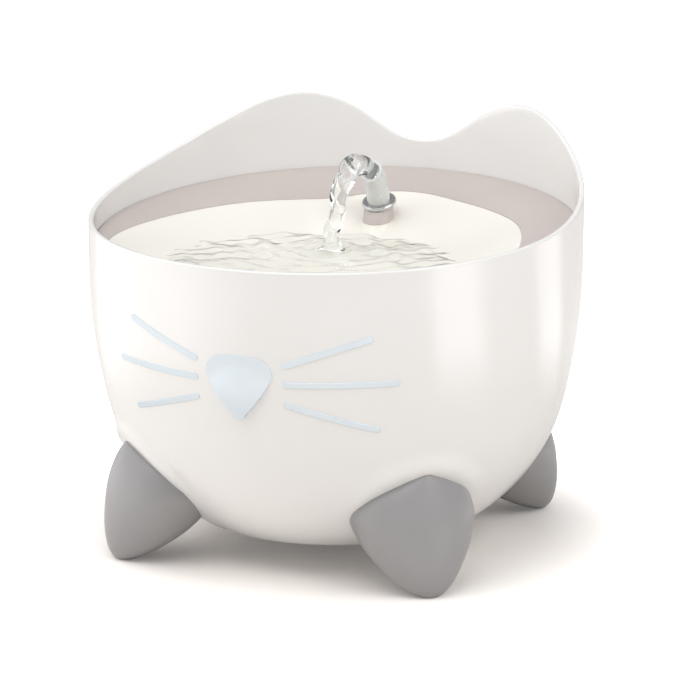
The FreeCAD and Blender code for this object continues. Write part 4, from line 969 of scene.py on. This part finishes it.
def studio_floor():
    """Matt white paper: far from the object the camera sees it plain white."""
    begin()
    bpy.ops.mesh.primitive_plane_add(size=FLOOR_SIZE, location=(0, FLOOR_BACK, 0))
    floor = named("studio_floor")
    bpy.ops.object.transform_apply(location=True)
    material, shader, place = new_finish("matt_white_paper", 0.9, specular_ior_level=0.0)
    fibre = add_node(material, "ShaderNodeTexNoise", {"Scale": per_mm(30.0)}, {"Vector": place})
    colour = add_node(material, "ShaderNodeMix", {6: tone("F3EEE9"), 7: tone("F5F0EC")},
                      {0: fibre.outputs["Fac"]}, data_type="RGBA")
    rays = add_node(material, "ShaderNodeLightPath")
    away = add_node(material, "ShaderNodeVectorMath", None, {0: place}, operation="LENGTH")
    # Painted light: near the object the camera also sees a faint glow of 0.07, which lightens the cast
    # shadow; further out the glow rises to plain white and paints out the rest of the shadow
    far = add_node(material, "ShaderNodeMapRange", {"From Min": 0.09, "From Max": 0.19, "To Min": 0.07},
                   {"Value": away.outputs["Value"]}, interpolation_type="SMOOTHSTEP")
    seen = add_node(material, "ShaderNodeMath", None,
                    {0: rays.outputs["Is Camera Ray"], 1: far.outputs["Result"]}, operation="MULTIPLY")
    axes = add_node(material, "ShaderNodeSeparateXYZ", None, {"Vector": place})
    front = add_node(material, "ShaderNodeMath", {1: -1.0}, {0: axes.outputs["Y"]}, operation="MULTIPLY")
    turn = add_node(material, "ShaderNodeMath", None, {0: axes.outputs["X"], 1: front.outputs["Value"]},
                    operation="ARCTAN2")
    share = add_node(material, "ShaderNodeMapRange", {"From Min": -math.pi, "From Max": math.pi},
                     {"Value": turn.outputs["Value"]})
    cards = add_node(material, "ShaderNodeValToRGB", None, {"Fac": share.outputs["Result"]})
    stops = cards.color_ramp.elements
    while len(stops) > 1:
        stops.remove(stops[-1])
    stops[0].position, stops[0].color = 0.0, (0.0, 0.0, 0.0, 1.0)
    for azimuth, level in REFLECTED_CARDS:
        stops.new((azimuth + 180.0) / 360.0).color = (level, level, level, 1.0)
    reach = add_node(material, "ShaderNodeMapRange", {"From Min": 0.22, "From Max": 0.42, "To Max": 2.4},
                     {"Value": away.outputs["Value"]}, interpolation_type="SMOOTHSTEP")
    card = add_node(material, "ShaderNodeMath", None, {0: cards.outputs["Color"], 1: reach.outputs["Result"]},
                    operation="MULTIPLY")
    gloss = add_node(material, "ShaderNodeMath", None,
                     {0: rays.outputs["Is Glossy Ray"], 1: card.outputs["Value"], 2: seen.outputs["Value"]},
                     operation="MULTIPLY_ADD")
    shader.inputs["Emission Color"].default_value = tone("FFFFFF")
    material.node_tree.links.new(colour.outputs[2], shader.inputs["Base Color"])
    material.node_tree.links.new(gloss.outputs["Value"], shader.inputs["Emission Strength"])
    floor.data.materials.append(material)


def studio_world():
    """Even pale air that lights softly, and is white to the camera and through clear pieces."""
    world = bpy.data.worlds.new("studio_air")
    world.use_nodes = True
    bpy.context.scene.world = world
    air = world.node_tree.nodes["Background"]
    rays = add_node(world, "ShaderNodeLightPath")
    shown = add_node(world, "ShaderNodeMath", None,
                     {0: rays.outputs["Is Camera Ray"], 1: rays.outputs["Is Transmission Ray"]},
                     operation="MAXIMUM")
    strength = add_node(world, "ShaderNodeMapRange", {"To Min": 0.4, "To Max": 1.0},
                        {"Value": shown.outputs["Value"]})
    air.inputs["Color"].default_value = (1.0, 1.0, 1.0, 1.0)
    world.node_tree.links.new(strength.outputs["Result"], air.inputs["Strength"])


def soft_lamp(name, azimuth, low, high, away, width, power, lean=0.0):
    """A soft lamp of a given width between two heights. Azimuth is from the front, towards +X."""
    turn = math.radians(azimuth)
    lamp = bpy.data.lights.new(name, "AREA")
    lamp.shape = "RECTANGLE"
    lamp.size, lamp.size_y = width, high - low
    lamp.energy = power
    holder = bpy.data.objects.new(name, lamp)
    bpy.context.scene.collection.objects.link(holder)
    holder.location = (math.sin(turn) * away, -math.cos(turn) * away, (low + high) / 2)
    holder.rotation_euler = (math.radians(90 - lean), 0, turn)


CAMERA_PLACE = (0.52064, -1.28027, 0.4255)
CAMERA_TURN = 22.13
CAMERA_DIP = 13.694
SENSOR_WIDTH = 36.0
PICTURE_WIDTH = 700
FOCAL_PIXELS = 3025.686
SHIFT_PIXELS = 14


def studio_camera():
    """The camera, from the front right and a little above."""
    camera = bpy.data.cameras.new("photo_camera")
    camera.sensor_width = SENSOR_WIDTH
    camera.lens = SENSOR_WIDTH * FOCAL_PIXELS / PICTURE_WIDTH
    camera.shift_x = SHIFT_PIXELS / PICTURE_WIDTH
    holder = bpy.data.objects.new("photo_camera", camera)
    bpy.context.scene.collection.objects.link(holder)
    holder.location = CAMERA_PLACE
    holder.rotation_euler = (math.radians(90 - CAMERA_DIP), 0, math.radians(CAMERA_TURN))
    bpy.context.scene.camera = holder


studio_floor()
studio_world()
soft_lamp("left_softbox", -75, 0.02, 1.1, 0.9, 1.6, 6.0, 10.0)
soft_lamp("right_softbox", 75, 0.5, 1.1, 0.9, 0.7, 4.0, 40.0)
soft_lamp("top_softbox", -10, 0.9, 2.1, 0.6, 1.3, 11.4, 70.0)
studio_camera()
bpy.context.scene.view_settings.view_transform = "Standard"
